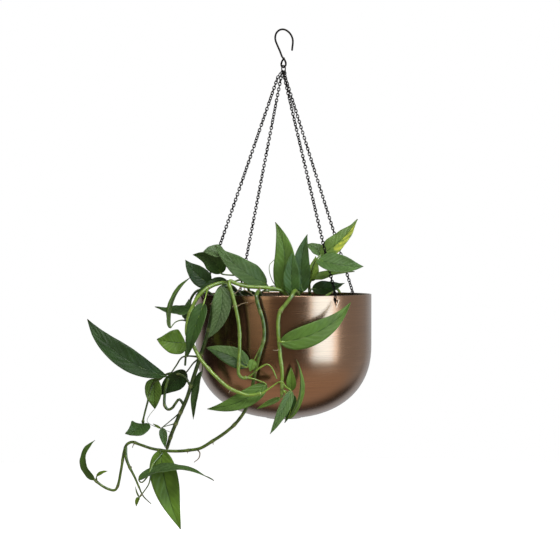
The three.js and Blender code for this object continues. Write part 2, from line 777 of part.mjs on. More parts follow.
    path: [
      [10, -78, -338], [-1, -90, -325], [-16.5, -96, -321], [-30.5, -98, -320], [-44.5, -99, -319],
      [-56.5, -100, -315.5], [-64, -101.5, -312.5], [-64, -104.5, -317], [-60.5, -108, -328],
      [-57.5, -111, -339.5], [-54, -112, -356], [-52, -112, -372], [-52, -112.5, -393.5],
      [-53, -113, -412], [-53, -113.5, -421.5], [-49, -114, -426], [-42, -114, -425.5],
    ],
    branches: [
      // Thin tendril that rises from the curl and falls again
      {
        radius: [1.2, 0.7],
        path: [
          [-42, -114, -425.5], [-33.5, -115, -418.5], [-25.5, -116, -412.5], [-19, -117, -410],
          [-14, -118, -414], [-8, -119, -427],
        ],
      },
      // Aerial root at the first node below the rim
      { radius: [0.8, 0.5], path: [[-56, -111, -343], [-49, -113, -339], [-42, -114, -337.5]] },
    ],
    leaves: [
      {
        stalk: [[-53, -113, -410], [-44, -110, -414]],
        base: [-42, -105, -412], tip: [-92, -99, -391.5], width: 24, face: [0.07, -0.96, 0.27],
        arch: 0.05, sweep: 0.03,
      },
      {
        stalk: [[-43, -114, -425.7], [-30, -115, -429]],
        base: [-20.5, -113, -434], tip: [-90, -111, -463], width: 21, face: [0, -0.96, 0.29],
        sweep: -0.1, fold: 8, twist: -17,
      },
    ],
  },
  {
    name: 'vine_long_trail',
    radius: [2.4, 1.6],
    root: [-26, -66],
    path: [
      [-27, -78, -337], [-28.5, -92, -327], [-30.5, -104, -325], [-32, -112.5, -331],
      [-29, -114.5, -344], [-25, -115.5, -355.5], [-23, -116, -367.5], [-23, -116, -379],
      [-26, -116, -391], [-29, -116, -401.5], [-32, -113, -413], [-35, -109, -426.5],
      [-38, -107, -443], [-42, -104.5, -457.5], [-48, -102, -469.5], [-57.5, -98, -482],
      [-70, -91, -493.5], [-85.5, -84, -504.5], [-100.5, -76, -514], [-113, -70, -517],
      [-127.5, -64, -519], [-144, -60, -519], [-160, -56, -517], [-174.5, -54, -512.5],
      [-185, -52, -509.5], [-191.5, -51, -513], [-194.5, -50, -520.5], [-198.5, -48, -543.5],
      [-203.5, -46, -565.5], [-207, -45, -569.5], [-213.5, -44.5, -568.5], [-221, -44, -565],
      [-231.5, -43, -557.5],
    ],
    branches: [
      // Aerial root under the trail
      {
        radius: [0.9, 0.5],
        path: [[-105, -74, -515.5], [-101, -75, -519], [-102, -75, -526], [-108, -76, -531]],
      },
      // New shoot from the highest node, thinning to a root
      {
        radius: [2.3, 0.5],
        path: [
          [-192.5, -50.5, -515.5], [-192, -52, -528.5], [-188, -54, -539], [-181.5, -56, -551],
          [-176, -58, -563], [-170.5, -60, -574], [-160.5, -60, -584],
        ],
      },
      // Stalk of the bud that hangs below the arched leaf
      {
        radius: [1.1, 0.7],
        path: [
          [-143.5, -60, -519.5], [-151.5, -66, -526.5], [-158.5, -72, -535.5], [-160, -75, -546],
          [-162, -76, -556.5], [-166.5, -74, -564], [-173, -72, -572.5],
        ],
      },
    ],
    leaves: [
      {
        stalk: [[-23.5, -116, -383], [-29, -118, -393]],
        base: [-35, -118, -405], tip: [-39, -120, -418.5], width: 11, face: [0.2, -0.98, 0.1],
        sweep: 0.06,
      },
      {
        stalk: [[-150, -58, -518.5]],
        base: [-149.5, -61, -518.5], tip: [-124.5, -66, -613.5], width: 34, face: [0, -0.95, 0.3],
        sweep: 0.04, twist: -40,
      },
      {
        stalk: [[-158.5, -72, -535.5], [-162, -77, -544.5], [-166, -78, -551], [-171, -78, -555]],
        base: [-174.5, -76, -551], tip: [-83.5, -82, -552], width: 24, face: [0.13, -0.33, 0.94],
        arch: 0.16, twist: -35,
      },
      {
        stalk: [[-231, -43, -558]],
        base: [-232, -43, -556.5], tip: [-230.5, -50, -507.5], width: 18, face: [-0.75, -0.6, 0.2],
        arch: 0.16, sweep: -0.2, fold: 20, twist: -20,
      },
      {
        stalk: [[-229, -43, -559]],
        base: [-229, -45, -552], tip: [-215, -50, -545], width: 6, face: [0.3, -0.6, 0.7],
      },
      {
        stalk: [[-171, -73, -570]],
        base: [-174, -71, -574], tip: [-178, -70, -585], width: 7, face: [-0.6, -0.8, 0.2],
        fold: 30,
      },
      {
        stalk: [[-171, -73, -570]],
        base: [-174, -71, -574], tip: [-179, -72, -560.5], width: 2.4, face: [-0.6, -0.8, 0.2],
      },
    ],
  },
  {
    name: 'vine_front_drop',
    finish: 'paleVine',
    radius: [2.6, 2.0],
    root: [26, -66],
    path: [
      [21, -78, -338], [16, -94, -327], [12.5, -107, -324.4], [9.5, -115.5, -329.5],
      [3, -116.5, -338.5], [-4.5, -117, -348.5], [-6.5, -117, -358], [-6.5, -117.5, -372],
      [-5, -117.5, -388.5], [-4, -118, -402.5], [-2, -117.5, -416.5], [-2, -116, -430.5],
      [-2, -115, -440], [-2, -113.5, -449.5],
    ],
    branches: [
      // Root at the second node
      { radius: [0.8, 0.5], path: [[-5, -117.6, -392], [-9, -121, -393.5], [-13, -121, -393]] },
    ],
    leaves: [
      {
        stalk: [[-5.4, -117.5, -384]],
        base: [-3.5, -121, -383.5], tip: [79.5, -104, -337.5], width: 27, face: [0.05, -1, 0.15],
        sweep: 0.12, fold: 10, twist: -40,
      },
      {
        stalk: [[-2, -115, -438], [5, -118, -449], [8, -118, -462]],
        base: [5, -117, -474], tip: [15, -124, -403.5], width: 13, face: [0.9, -0.42, -0.1],
        arch: 0.14, fold: 38,
      },
      {
        stalk: [[0, -115.5, -440]],
        base: [11, -117, -446], tip: [1, -115, -479], width: 12, face: [0.5, -0.85, 0],
        fold: 25,
      },
      {
        stalk: [[0, -116, -434]],
        base: [8.5, -116, -441], tip: [8.5, -120, -413.5], width: 12, face: [0.1, -1, 0.2],
        twist: -25,
      },
      {
        stalk: [[-2, -114, -446]],
        base: [-4, -114, -450], tip: [-32, -116, -462.5], width: 7, face: [0, -0.96, 0.29],
      },
    ],
  },
  {
    name: 'shoot_centre',
    radius: [2.2, 1.6],
    root: [-4, -45],
    path: [[0, -60, -336], [6, -76, -329]],
    leaves: [
      {
        stalk: [[0, -62, -335], [-5, -76, -331]],
        base: [-4, -85, -325], tip: [-10, -78, -242.5], width: 27, face: [-0.15, -1, 0.1],
        sweep: 0.11, twist: 16,
      },
      {
        stalk: [[5, -74, -329.5], [9, -84, -331]],
        base: [10, -91, -328], tip: [11, -90, -276.5], width: 21, face: [0.15, -1, 0.1],
        sweep: -0.04,
      },
      {
        stalk: [[6, -76, -329], [15, -78, -328]],
        base: [23, -81, -325.5], tip: [28.5, -80, -257], width: 23, face: [0.25, -1, 0.05],
        sweep: -0.09, twist: -20,
      },
    ],
  },
  {
    name: 'shoot_right',
    radius: [2.2, 1.4],
    root: [34, -36],
    path: [[32, -48, -330], [31, -56, -312], [33, -58, -298]],
    leaves: [
      {
        stalk: [[33, -58, -298], [39, -52, -288]],
        base: [45, -46, -282], tip: [90.5, -38, -237.5], width: 24, face: [-0.2, -0.87, 0.46],
        sweep: 0.1, twist: -35,
      },
      {
        stalk: [[33, -58, -298], [42, -50, -291]],
        base: [49, -42, -281], tip: [28, -34, -268], width: 17, face: [0, -0.8, 0.6],
      },
      {
        stalk: [[31, -56, -311], [34, -74, -300], [37, -87, -290]],
        base: [40.5, -92, -287], tip: [94.5, -98, -295], width: 29, face: [0, -0.76, 0.65],
        sweep: 0.11, twist: 28,
      },
      {
        stalk: [[31, -54, -316], [34, -60, -312]],
        base: [38.5, -66, -310], tip: [85.5, -66, -301.5], width: 21, face: [0, -0.41, 0.91],
        sweep: 0.08, twist: -40,
      },
      {
        stalk: [[31.5, -51, -323], [32, -64, -325]],
        base: [34.5, -71, -322], tip: [73.5, -67, -315.5], width: 18, face: [0.1, -0.91, 0.4],
        sweep: 0.08, twist: -40,
      },
      {
        stalk: [[31.5, -52, -320]],
        base: [32, -61, -313], tip: [39, -57, -283], width: 15, face: [0.3, -0.9, -0.2],
      },
    ],
  },
  {
    name: 'shoot_back',
    radius: [2.0, 1.5],
    root: [4, 30],
    path: [[4, 42, -336], [3, 58, -327]],
    leaves: [
      {
        stalk: [[4, 34, -343], [5, 34, -332]],
        base: [6, 36, -326], tip: [7, 50, -272], width: 19, face: [-0.1, 0.95, 0.3],
      },
      {
        stalk: [[4, 38, -340], [14, 34, -334]],
        base: [20, 32, -328], tip: [26, 44, -270], width: 17, face: [0.2, 0.9, 0.3],
      },
      {
        stalk: [[3, 56, -327.5], [-10, 84, -322], [-18, 106, -324]],
        base: [-20, 114, -330], tip: [-27, 122, -392], width: 27, face: [-0.1, 1, 0.2],
      },
      {
        stalk: [[3, 58, -327], [12, 84, -323], [18, 106, -324]],
        base: [20, 114, -329], tip: [27, 121, -384], width: 25, face: [0.1, 1, 0.2],
      },
      {
        stalk: [[3, 57, -327], [-24, 62, -328]],
        base: [-34, 66, -332], tip: [-62, 84, -337], width: 22, face: [-0.2, 0.4, 0.9],
      },
    ],
  },
  {
    name: 'vine_back_left',
    radius: [2.3, 1.3],
    root: [-45, 40],
    path: [
      [-60, 62, -335], [-76, 86, -325.5], [-83, 92, -332], [-86, 93, -350], [-83, 94, -384],
      [-76, 95, -420], [-68, 96, -440], [-62, 97, -453],
    ],
    leaves: [
      {
        stalk: [[-85, 92.5, -342], [-82, 100, -341]],
        base: [-78, 105, -344], tip: [-66, 117, -402], width: 26, face: [0.1, 1, 0.2],
      },
      {
        stalk: [[-84, 94, -375], [-90, 98, -372]],
        base: [-93, 101, -376], tip: [-104, 106, -430], width: 24, face: [-0.4, 0.9, 0.2],
      },
      {
        stalk: [[-78, 95, -410], [-72, 101, -409]],
        base: [-67, 104, -413], tip: [-50, 108, -466], width: 24, face: [0.2, 1, 0.1],
      },
      {
        stalk: [[-76, 95, -420], [-81, 99, -424]],
        base: [-83, 101, -431], tip: [-85, 104, -463], width: 15, face: [-0.3, 0.9, 0.2],
      },
      {
        stalk: [[-62, 97, -452]],
        base: [-61, 98, -456], tip: [-54, 100, -480], width: 12, face: [0.3, 0.95, 0.2],
      },
    ],
  },
  {
    name: 'vine_back_right',
    radius: [2.1, 1.3],
    root: [40, 44],
    path: [
      [54, 66, -336], [70, 91, -325.5], [75, 97, -332], [77, 99, -352], [72, 101, -388],
      [62, 101, -420], [50, 100, -446],
    ],
    leaves: [
      {
        stalk: [[76, 98, -342], [72, 105, -341]],
        base: [67, 109, -344], tip: [53, 120, -398], width: 26, face: [0.1, 1, 0.2],
      },
      {
        stalk: [[75, 100, -368], [79, 103, -366]],
        base: [82, 104, -370], tip: [84, 107, -420], width: 21, face: [0.4, 0.9, 0.2],
      },
      {
        stalk: [[68, 101, -400], [62, 106, -400]],
        base: [58, 108, -404], tip: [42, 112, -452], width: 22, face: [-0.2, 1, 0.1],
      },
      {
        stalk: [[50, 100, -445]],
        base: [48, 101, -450], tip: [40, 103, -482], width: 15, face: [0.1, 1, 0.2],
      },
    ],
  },
];

const planter = new THREE.Group();
planter.name = 'hanging_planter';
planter.add(makeHook(), makeRing(), makeBowl(), makeNurseryPot(), makeSoil(VINES));
for (const name of CHAIN_ORDER) {
  planter.add(makeChain(name), makeRimLink(name));
}
for (const vine of VINES) {
  planter.add(makeVine(vine));
}

export default planter;
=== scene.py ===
"""Looks of a potted cebu blue pothos in a brushed metal bowl that hangs by four chains.

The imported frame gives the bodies, the joints and the place of every piece. Each class below
models one sub-assembly and dresses it: the hook and its ring, the chains, the bowl, the potted
soil and the vines. Sizes are in millimetres, in the frame of the solids: the origin is the
underside of the hook's crown, +Z is up and the photograph looks along +Y. A mesh is scaled to
metres when it is finished.
"""

import bisect
import logging
import math
import random
from dataclasses import dataclass, field
from enum import Enum
from typing import Iterable, Sequence

import bmesh
import bpy
from bmesh.types import BMEdge, BMVert
from bpy.types import ID, Light, Material, Mesh, Node, NodeSocket, NodeTree, Object
from mathutils import Matrix, Vector, noise


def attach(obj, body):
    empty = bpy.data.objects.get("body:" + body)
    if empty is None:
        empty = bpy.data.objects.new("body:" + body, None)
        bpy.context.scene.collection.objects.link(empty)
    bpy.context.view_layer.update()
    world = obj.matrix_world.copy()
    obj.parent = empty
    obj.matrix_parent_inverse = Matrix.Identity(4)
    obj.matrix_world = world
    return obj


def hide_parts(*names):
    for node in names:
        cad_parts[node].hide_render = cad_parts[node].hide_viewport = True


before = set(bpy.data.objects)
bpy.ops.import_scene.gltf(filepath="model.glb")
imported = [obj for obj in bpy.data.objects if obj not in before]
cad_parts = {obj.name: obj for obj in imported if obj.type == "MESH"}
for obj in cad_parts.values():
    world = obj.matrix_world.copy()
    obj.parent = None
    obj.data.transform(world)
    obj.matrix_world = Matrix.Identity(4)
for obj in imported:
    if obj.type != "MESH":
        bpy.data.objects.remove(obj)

LOG = logging.getLogger("pothos")
MM = 0.001
UP = Vector((0, 0, 1))
PLANTER = "planter"

Point = Sequence[float]
Colour = tuple[float, float, float]


def azimuth_vector(degrees: float) -> Vector:
    """A level unit vector at an angle from +X."""
    return Vector((math.cos(math.radians(degrees)), math.sin(math.radians(degrees)), 0))


def square_to(direction: Vector, axis: Vector) -> Vector:
    """The unit vector of a direction once its share along a unit axis is taken out."""
    return (direction - axis * direction.dot(axis)).normalized()


def blend(low: float, high: float, part: float) -> float:
    """The value at a part of the way from low to high."""
    return low + (high - low) * part


def smooth_step(low: float, high: float, value: float) -> float:
    """0 up to low, 1 from high, and a smooth rise between."""
    part = min(1.0, max(0.0, (value - low) / (high - low)))
    return part * part * (3 - 2 * part)


def even_steps(length: float, count: int) -> list[float]:
    """Distances from 0 to a length, in equal steps."""
    return [length * step / count for step in range(count + 1)]


def turned_to(first: Vector, second: Vector, third: Vector) -> Matrix:
    """The transform that takes the X, Y and Z axes to three columns."""
    return Matrix((first, second, third)).transposed().to_4x4()


@dataclass(frozen=True)
class Station:
    """One section of a swept bar: a ring round its centre, square to its tangent."""

    centre: Vector
    tangent: Vector
    side: Vector
    radius: float

    def matrix(self) -> Matrix:
        """The transform that takes a unit circle in the XY plane to this section."""
        across, over = self.side * self.radius, self.tangent.cross(self.side) * self.radius
        return Matrix.Translation(self.centre) @ turned_to(across, over, self.tangent)


class SmoothPath:
    """A smooth curve through given points, walked by its length in millimetres."""

    samples_per_span = 16
    tangent_reach = 0.6

    def __init__(self, points: Iterable[Point]) -> None:
        """Samples the curve.

        Args:
            points: The places that the curve passes through, two or more.
        """
        knots = [Vector(point) for point in points]
        self.places = [knots[0].copy()]
        for index in range(len(knots) - 1):
            before = knots[index - 1] if index else 2 * knots[0] - knots[1]
            is_last = index + 2 == len(knots)
            after = 2 * knots[-1] - knots[-2] if is_last else knots[index + 2]
            self.places += self._span(before, knots[index], knots[index + 1], after)
        self.walked = [0.0]
        for here, there in zip(self.places, self.places[1:]):
            self.walked.append(self.walked[-1] + (there - here).length)

    def _span(self, before: Vector, here: Vector, there: Vector, after: Vector) -> list[Vector]:
        """Samples of the curve from one point to the next, without the first itself.

        Args:
            before: The point before the first.
            here: The first point.
            there: The second point.
            after: The point after the second.

        Returns:
            The samples, in order.
        """
        middle = (there - here).length ** 0.5
        first = (here - before).length ** 0.5 or middle
        last = (after - there).length ** 0.5 or middle
        leave = (here - before) / first - (there - before) / (first + middle)
        leave += (there - here) / middle
        arrive = (there - here) / middle - (after - here) / (middle + last) + (after - there) / last
        leave *= middle
        arrive *= middle
        places = []
        for step in range(1, self.samples_per_span + 1):
            t = step / self.samples_per_span
            square = -3 * here + 3 * there - 2 * leave - arrive
            cube = 2 * here - 2 * there + leave + arrive
            places.append(here + leave * t + square * t * t + cube * t ** 3)
        return places

    @property
    def length(self) -> float:
        """The whole length of the curve."""
        return self.walked[-1]

    def at(self, distance: float) -> Vector:
        """The place at a distance along the curve.

        Args:
            distance: How far along the curve.

        Returns:
            The place, held to the ends of the curve.
        """
        index = bisect.bisect_left(self.walked, distance, 1, len(self.walked) - 1)
        start, end = self.walked[index - 1], self.walked[index]
        part = min(1.0, max(0.0, (distance - start) / max(end - start, 1e-9)))
        return self.places[index - 1].lerp(self.places[index], part)

    def tangent(self, distance: float) -> Vector:
        """The direction of the curve at a distance along it.

        Args:
            distance: How far along the curve.

        Returns:
            A unit vector, steadied over a short reach.
        """
        reach = min(self.tangent_reach, self.length / 4)
        low = max(0.0, min(distance - reach, self.length - 2 * reach))
        return (self.at(low + 2 * reach) - self.at(low)).normalized()

    def nearest(self, place: Vector) -> tuple[float, float]:
        """How far a place is from the curve, and how far along the curve it is nearest."""
        spots = zip(self.places, self.walked)
        return min(((spot - place).length, walked) for spot, walked in spots)

    def stations(self, distances: Sequence[float], radii: Sequence[float],
                 across: Vector) -> list[Station]:
        """Sections at distances along the curve, carried along it without turning.

        Args:
            distances: Where the sections lie, in rising order.
            radii: The radius of each section.
            across: The direction that the first section's points are counted from.

        Returns:
            One station for each distance.
        """
        side = across
        made = []
        for distance, radius in zip(distances, radii):
            tangent = self.tangent(distance)
            side = square_to(side, tangent)
            made.append(Station(self.at(distance), tangent, side, radius))
        return made


@dataclass(frozen=True)
class WireOval:
    """A closed oval of wire: a superellipse in the upright plane along across."""

    centre: Vector
    across: Vector
    half_height: float
    half_width: float
    wire: float
    squareness: float = 2.0

    def place(self, angle: float) -> Vector:
        """A point of the wire's centre line.

        Args:
            angle: The angle from across, in radians.

        Returns:
            The place.
        """
        power = 2 / self.squareness
        cosine, sine = math.cos(angle), math.sin(angle)
        wide = self.half_width * math.copysign(abs(cosine) ** power, cosine)
        high = self.half_height * math.copysign(abs(sine) ** power, sine)
        return self.centre + self.across * wide + UP * high

    def stations(self, count: int) -> list[Station]:
        """Sections all the way round the oval.

        Args:
            count: How many there are.

        Returns:
            The sections, in order.
        """
        made = []
        normal = UP.cross(self.across)
        reach = 0.02
        for segment in range(count):
            angle = (segment + 0.5) / count * math.tau
            tangent = (self.place(angle + reach) - self.place(angle - reach)).normalized()
            made.append(Station(self.place(angle), tangent, normal, self.wire / 2))
        return made


@dataclass(frozen=True)
class Placing:
    """Where a finished piece belongs: its body and the nodes it stands for, and a material slot
    name, which is not used.
    """

    body: str
    slot: str
    nodes: tuple[str, ...] = ()


class Workpiece:
    """One piece in the making: a bmesh in millimetres, and the ways that it is shaped."""

    drill_depth = 12.0

    def __init__(self, channels: Sequence[str] = ()) -> None:
        """Starts an empty piece.

        Args:
            channels: Names of the numbers that each vertex holds for its material.
        """
        self.mesh = bmesh.new()
        self.blade_map = self.mesh.loops.layers.uv.new("blade") if "bright" in channels else None
        for name in channels:
            self.mesh.verts.layers.float.new(name)
        self.channels = {name: self.mesh.verts.layers.float[name] for name in channels}

    def mark(self, verts: Iterable[BMVert], **values: float) -> None:
        """Writes numbers for the material.

        Args:
            verts: The vertices.
            values: The number for each named channel.
        """
        for vert in verts:
            for name, value in values.items():
                vert[self.channels[name]] = value

    def sweep(self, stations: Sequence[Station], sides: int,
              closed: bool = False) -> list[list[BMVert]]:
        """A bar with a round section through stations.

        Args:
            stations: The sections, in order.
            sides: How many points each section has.
            closed: Whether the last section joins the first.

        Returns:
            The vertices of each section.
        """
        here = stations[0].matrix()
        ring = bmesh.ops.create_circle(
            self.mesh, cap_ends=not closed, segments=sides, radius=1.0, matrix=here
        )["verts"]
        first_edges = self._edges_within(ring)
        rings, edges = [list(ring)], first_edges
        for station in stations[1:]:
            grown = bmesh.ops.extrude_edge_only(self.mesh, edges=edges)["geom"]
            ring = [item for item in grown if isinstance(item, BMVert)]
            there = station.matrix()
            bmesh.ops.transform(self.mesh, matrix=there @ here.inverted(), verts=ring)
            edges = self._edges_within(ring)
            rings.append(ring)
            here = there
        if closed:
            bmesh.ops.bridge_loops(self.mesh, edges=edges + first_edges)
        else:
            bmesh.ops.edgeloop_fill(self.mesh, edges=edges)
        return rings

    @staticmethod
    def _edges_within(ring: Iterable[BMVert]) -> list[BMEdge]:
        """The edges that have both ends among some vertices.

        Args:
            ring: The vertices.

        Returns:
            The edges, in the order in which they are met.
        """
        inside = set(ring)
        found = {edge: None for vert in ring for edge in vert.link_edges
                 if edge.other_vert(vert) in inside}
        return list(found)

    def lathe(self, profile: Sequence[tuple[float, float]], steps: int) -> None:
        """A turned body.

        Args:
            profile: Radius and height of each point of its outline, which starts and ends on
                the axis.
            steps: How many steps the turn has.
        """
        verts = [self.mesh.verts.new((radius, 0, height)) for radius, height in profile]
        edges = [self.mesh.edges.new(pair) for pair in zip(verts, verts[1:])]
        bmesh.ops.spin(
            self.mesh, geom=verts + edges, cent=(0, 0, 0), axis=(0, 0, 1), dvec=(0, 0, 0),
            angle=math.tau, steps=steps, use_merge=True, use_normal_flip=False,
            use_duplicate=False,
        )
        bmesh.ops.remove_doubles(self.mesh, verts=self.mesh.verts[:], dist=1e-4)

    def drill(self, place: Matrix, radius: float, segments: int) -> None:
        """Adds a cylinder that a hole is cut with.

        Args:
            place: Its middle, with its own Z along the hole.
            radius: Its radius.
            segments: How many sides it has.
        """
        bmesh.ops.create_cone(self.mesh, cap_ends=True, segments=segments, radius1=radius,
                              radius2=radius, depth=self.drill_depth, matrix=place)

    def add_copy(self, source: Mesh, place: Matrix) -> None:
        """Adds a copy of a mesh.

        Args:
            source: The mesh.
            place: The transform that the copy gets.
        """
        count = len(self.mesh.verts)
        self.mesh.from_mesh(source)
        self.mesh.verts.ensure_lookup_table()
        bmesh.ops.transform(self.mesh, matrix=place, verts=self.mesh.verts[count:])

    def as_mesh(self, name: str, scale: float = 1.0, crease: float = 40.0,
                recalculate: bool = True) -> Mesh:
        """Ends the bmesh as a mesh with smooth faces.

        Args:
            name: The mesh's name.
            scale: What its places are multiplied by.
            crease: An edge that bends by more than these degrees is sharp.
            recalculate: Whether the faces are turned to point outwards.

        Returns:
            The mesh.
        """
        if recalculate:
            bmesh.ops.recalc_face_normals(self.mesh, faces=self.mesh.faces[:])
        bmesh.ops.scale(self.mesh, vec=(scale,) * 3, verts=self.mesh.verts[:])
        for face in self.mesh.faces:
            face.smooth = True
        for edge in self.mesh.edges:
            edge.smooth = edge.calc_face_angle(0.0) < math.radians(crease)
        data = bpy.data.meshes.new(name)
        self.mesh.to_mesh(data)
        self.mesh.free()
        return data

    def install(self, name: str, materials: Sequence[Material], placing: Placing,
                crease: float = 40.0, recalculate: bool = True) -> Object:
        """Ends the bmesh and puts it into the scene as a piece of the object, in metres.

        Args:
            name: The piece's name.
            materials: What its material slots hold.
            placing: Its body and the nodes that it replaces.
            crease: As in as_mesh.
            recalculate: As in as_mesh.

        Returns:
            The new object.
        """
        data = self.as_mesh(name, MM, crease, recalculate)
        for material in materials:
            data.materials.append(material)
        piece = bpy.data.objects.new(name, data)
        bpy.context.scene.collection.objects.link(piece)
        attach(piece, placing.body)
        if placing.nodes:
            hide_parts(*placing.nodes)
        LOG.info("%s: %d faces on %s", name, len(data.polygons), placing.body)
        return piece


def cut_away(piece: Object, tool: Workpiece) -> None:
    """Cuts a shape out of a piece, and leaves no modifier behind.

    Args:
        piece: The piece that is cut.
        tool: The shape that is taken out of it.
    """
    cutter = bpy.data.objects.new("cutter", tool.as_mesh("cutter", MM))
    bpy.context.scene.collection.objects.link(cutter)
    cut = piece.modifiers.new("cut", "BOOLEAN")
    cut.operation = "DIFFERENCE"
    cut.solver = "EXACT"
    cut.object = cutter
    bpy.context.view_layer.update()
    depsgraph = bpy.context.evaluated_depsgraph_get()
    piece.data = bpy.data.meshes.new_from_object(piece.evaluated_get(depsgraph))
    piece.modifiers.remove(piece.modifiers["cut"])
    bpy.data.objects.remove(cutter)


class NodeKit:
    """Short calls for the nodes of a tree."""

    def __init__(self, tree: NodeTree) -> None:
        """Keeps the tree that new nodes go into."""
        self.tree = tree

    def feed(self, socket: NodeSocket, value: object) -> None:
        """Links a socket to another, or sets its value.

        Args:
            socket: The socket that is fed.
            value: Another socket, a number, a colour or a vector.
        """
        if isinstance(value, NodeSocket):
            self.tree.links.new(value, socket)
        elif isinstance(value, tuple) and socket.type == "RGBA":
            socket.default_value = (*value, 1.0)
        else:
            socket.default_value = value

    def node(self, kind: str, feeds: dict[int | str, object] | None = None,
             **settings: object) -> Node:
        """A new shader node.

        Args:
            kind: Its type, without the two words that every shader node's type starts with.
            feeds: What goes into its sockets, by their number or name.
            settings: The properties that are set before that.

        Returns:
            The node.
        """
        made = self.tree.nodes.new(f"ShaderNode{kind}")
        for name, value in settings.items():
            setattr(made, name, value)
        for key, value in (feeds or {}).items():
            self.feed(made.inputs[key], value)
        return made

    def math(self, operation: str, first: object, second: object = 0.0) -> NodeSocket:
        """One step of arithmetic, held between 0 and 1 only where the operation does so."""
        return self.node("Math", {0: first, 1: second}, operation=operation).outputs[0]

    def rise(self, value: object, low: float, high: float, start: float = 0.0,
             end: float = 1.0) -> NodeSocket:
        """A smooth change from start to end while a value goes from low to high."""
        feeds = {"Value": value, "From Min": low, "From Max": high, "To Min": start, "To Max": end}
        return self.node("MapRange", feeds, interpolation_type="SMOOTHSTEP").outputs["Result"]

    def mix(self, part: object, first: object, second: object) -> NodeSocket:
        """A colour between two others."""
        return self.node("Mix", {0: part, 6: first, 7: second}, data_type="RGBA").outputs[2]


class Recipe(NodeKit):
    """A material with one principled shader, and the textures that the finishes use."""

    def __init__(self, name: str) -> None:
        """Makes the material.

        Args:
            name: Its name.
        """
        self.material = bpy.data.materials.new(name)
        self.material.use_nodes = True
        super().__init__(self.material.node_tree)
        self.shader = self.tree.nodes["Principled BSDF"]

    def set(self, **values: object) -> None:
        """Feeds the shader's sockets, each named with _ for a space."""
        for name, value in values.items():
            self.feed(self.shader.inputs[name.replace("_", " ")], value)

    def attribute(self, name: str) -> NodeSocket:
        """The number that each vertex holds under a name."""
        return self.node("Attribute", attribute_name=name).outputs["Fac"]

    def noise(self, scale: float, stretch: Point = (1, 1, 1), detail: float = 2.0,
              roughness: float = 0.5) -> NodeSocket:
        """A noise of about 0 to 1 in object coordinates.

        Args:
            scale: How fine it is, counted per metre.
            stretch: What the coordinates are multiplied by along each axis.
            detail: How many finer noises are laid over it.
            roughness: How strong those are.

        Returns:
            The noise.
        """
        place = {"Vector": self.node("TexCoord").outputs["Object"], "Scale": stretch}
        feeds = {"Vector": self.node("Mapping", place).outputs["Vector"], "Scale": scale,
                 "Detail": detail, "Roughness": roughness}
        return self.node("TexNoise", feeds).outputs["Fac"]

    def bump(self, height: object, distance: float, strength: float = 1.0) -> None:
        """Raises the surface by a height between 0 and 1, distance in metres."""
        feeds = {"Strength": strength, "Distance": distance, "Height": height}
        self.set(Normal=self.node("Bump", feeds).outputs["Normal"])


@dataclass(frozen=True)
class BlackWire:
    """Blackened steel wire, worn a little where links rub."""

    name: str = "blackened_steel"
    dark: Colour = (0.004, 0.0035, 0.003)
    worn: Colour = (0.016, 0.013, 0.011)
    roughness: float = 0.45

    def material(self) -> Material:
        """The finish as a material.

        Returns:
            A new material.
        """
        recipe = Recipe(self.name)
        patches = recipe.rise(recipe.noise(420.0, detail=3.0), 0.42, 0.72)
        recipe.set(
            Base_Color=recipe.mix(patches, self.dark, self.worn), Metallic=0.2,
            Roughness=recipe.rise(patches, 0.0, 1.0, self.roughness + 0.1, self.roughness - 0.08),
            Specular_IOR_Level=0.15,
        )
        recipe.bump(recipe.noise(2600.0), 0.00008, 0.5)
        return recipe.material


class Side(Enum):
    """The two faces of the bowl's sheet."""

    OUTSIDE = "outside"
    INSIDE = "inside"


@dataclass(frozen=True)
class BrushedBronze:
    """Copper-bronze plate, brushed round the bowl, with a faint uneven patina."""

    side: Side
    copper: Colour
    patina: Colour
    roughness: float
    brushed: float

    def material(self) -> Material:
        """The finish as a material.

        Returns:
            A new material.
        """
        recipe = Recipe(f"brushed_bronze_{self.side.value}")
        patches = recipe.rise(recipe.noise(9.0, (1, 1, 2.2), detail=3.0), 0.35, 0.7)
        hairs = recipe.noise(1.0, (14, 14, 1700), detail=3.0, roughness=0.65)
        broad = recipe.noise(1.0, (5, 5, 330), detail=2.0)
        worn = recipe.mix(recipe.rise(hairs, 0.2, 0.8), self.patina, self.copper)
        base = recipe.mix(recipe.math("MULTIPLY", patches, 0.45), worn, self.patina)
        recipe.set(
            Base_Color=base, Metallic=1.0, Anisotropic=self.brushed, Anisotropic_Rotation=0.25,
            Coat_Weight=0.7, Coat_Roughness=0.18, Coat_IOR=1.65,
            Roughness=recipe.rise(broad, 0.25, 0.75, self.roughness - 0.01, self.roughness + 0.015),
            Tangent=recipe.node("Tangent", direction_type="RADIAL", axis="Z").outputs["Tangent"],
        )
        recipe.bump(hairs, 0.00004, 0.16)
        return recipe.material


@dataclass(frozen=True)
class PlantPotPlastic:
    """Matt black moulded plastic with a fine grain and some dust."""

    name: str = "nursery_pot_plastic"
    plastic: Colour = (0.016, 0.016, 0.017)
    dust: Colour = (0.055, 0.048, 0.040)

    def material(self) -> Material:
        """The finish as a material.

        Returns:
            A new material.
        """
        recipe = Recipe(self.name)
        dusty = recipe.rise(recipe.noise(60.0, detail=4.0), 0.5, 0.85)
        recipe.set(Base_Color=recipe.mix(dusty, self.plastic, self.dust), Roughness=0.55)
        recipe.bump(recipe.noise(3200.0, detail=1.0), 0.00008, 0.4)
        return recipe.material


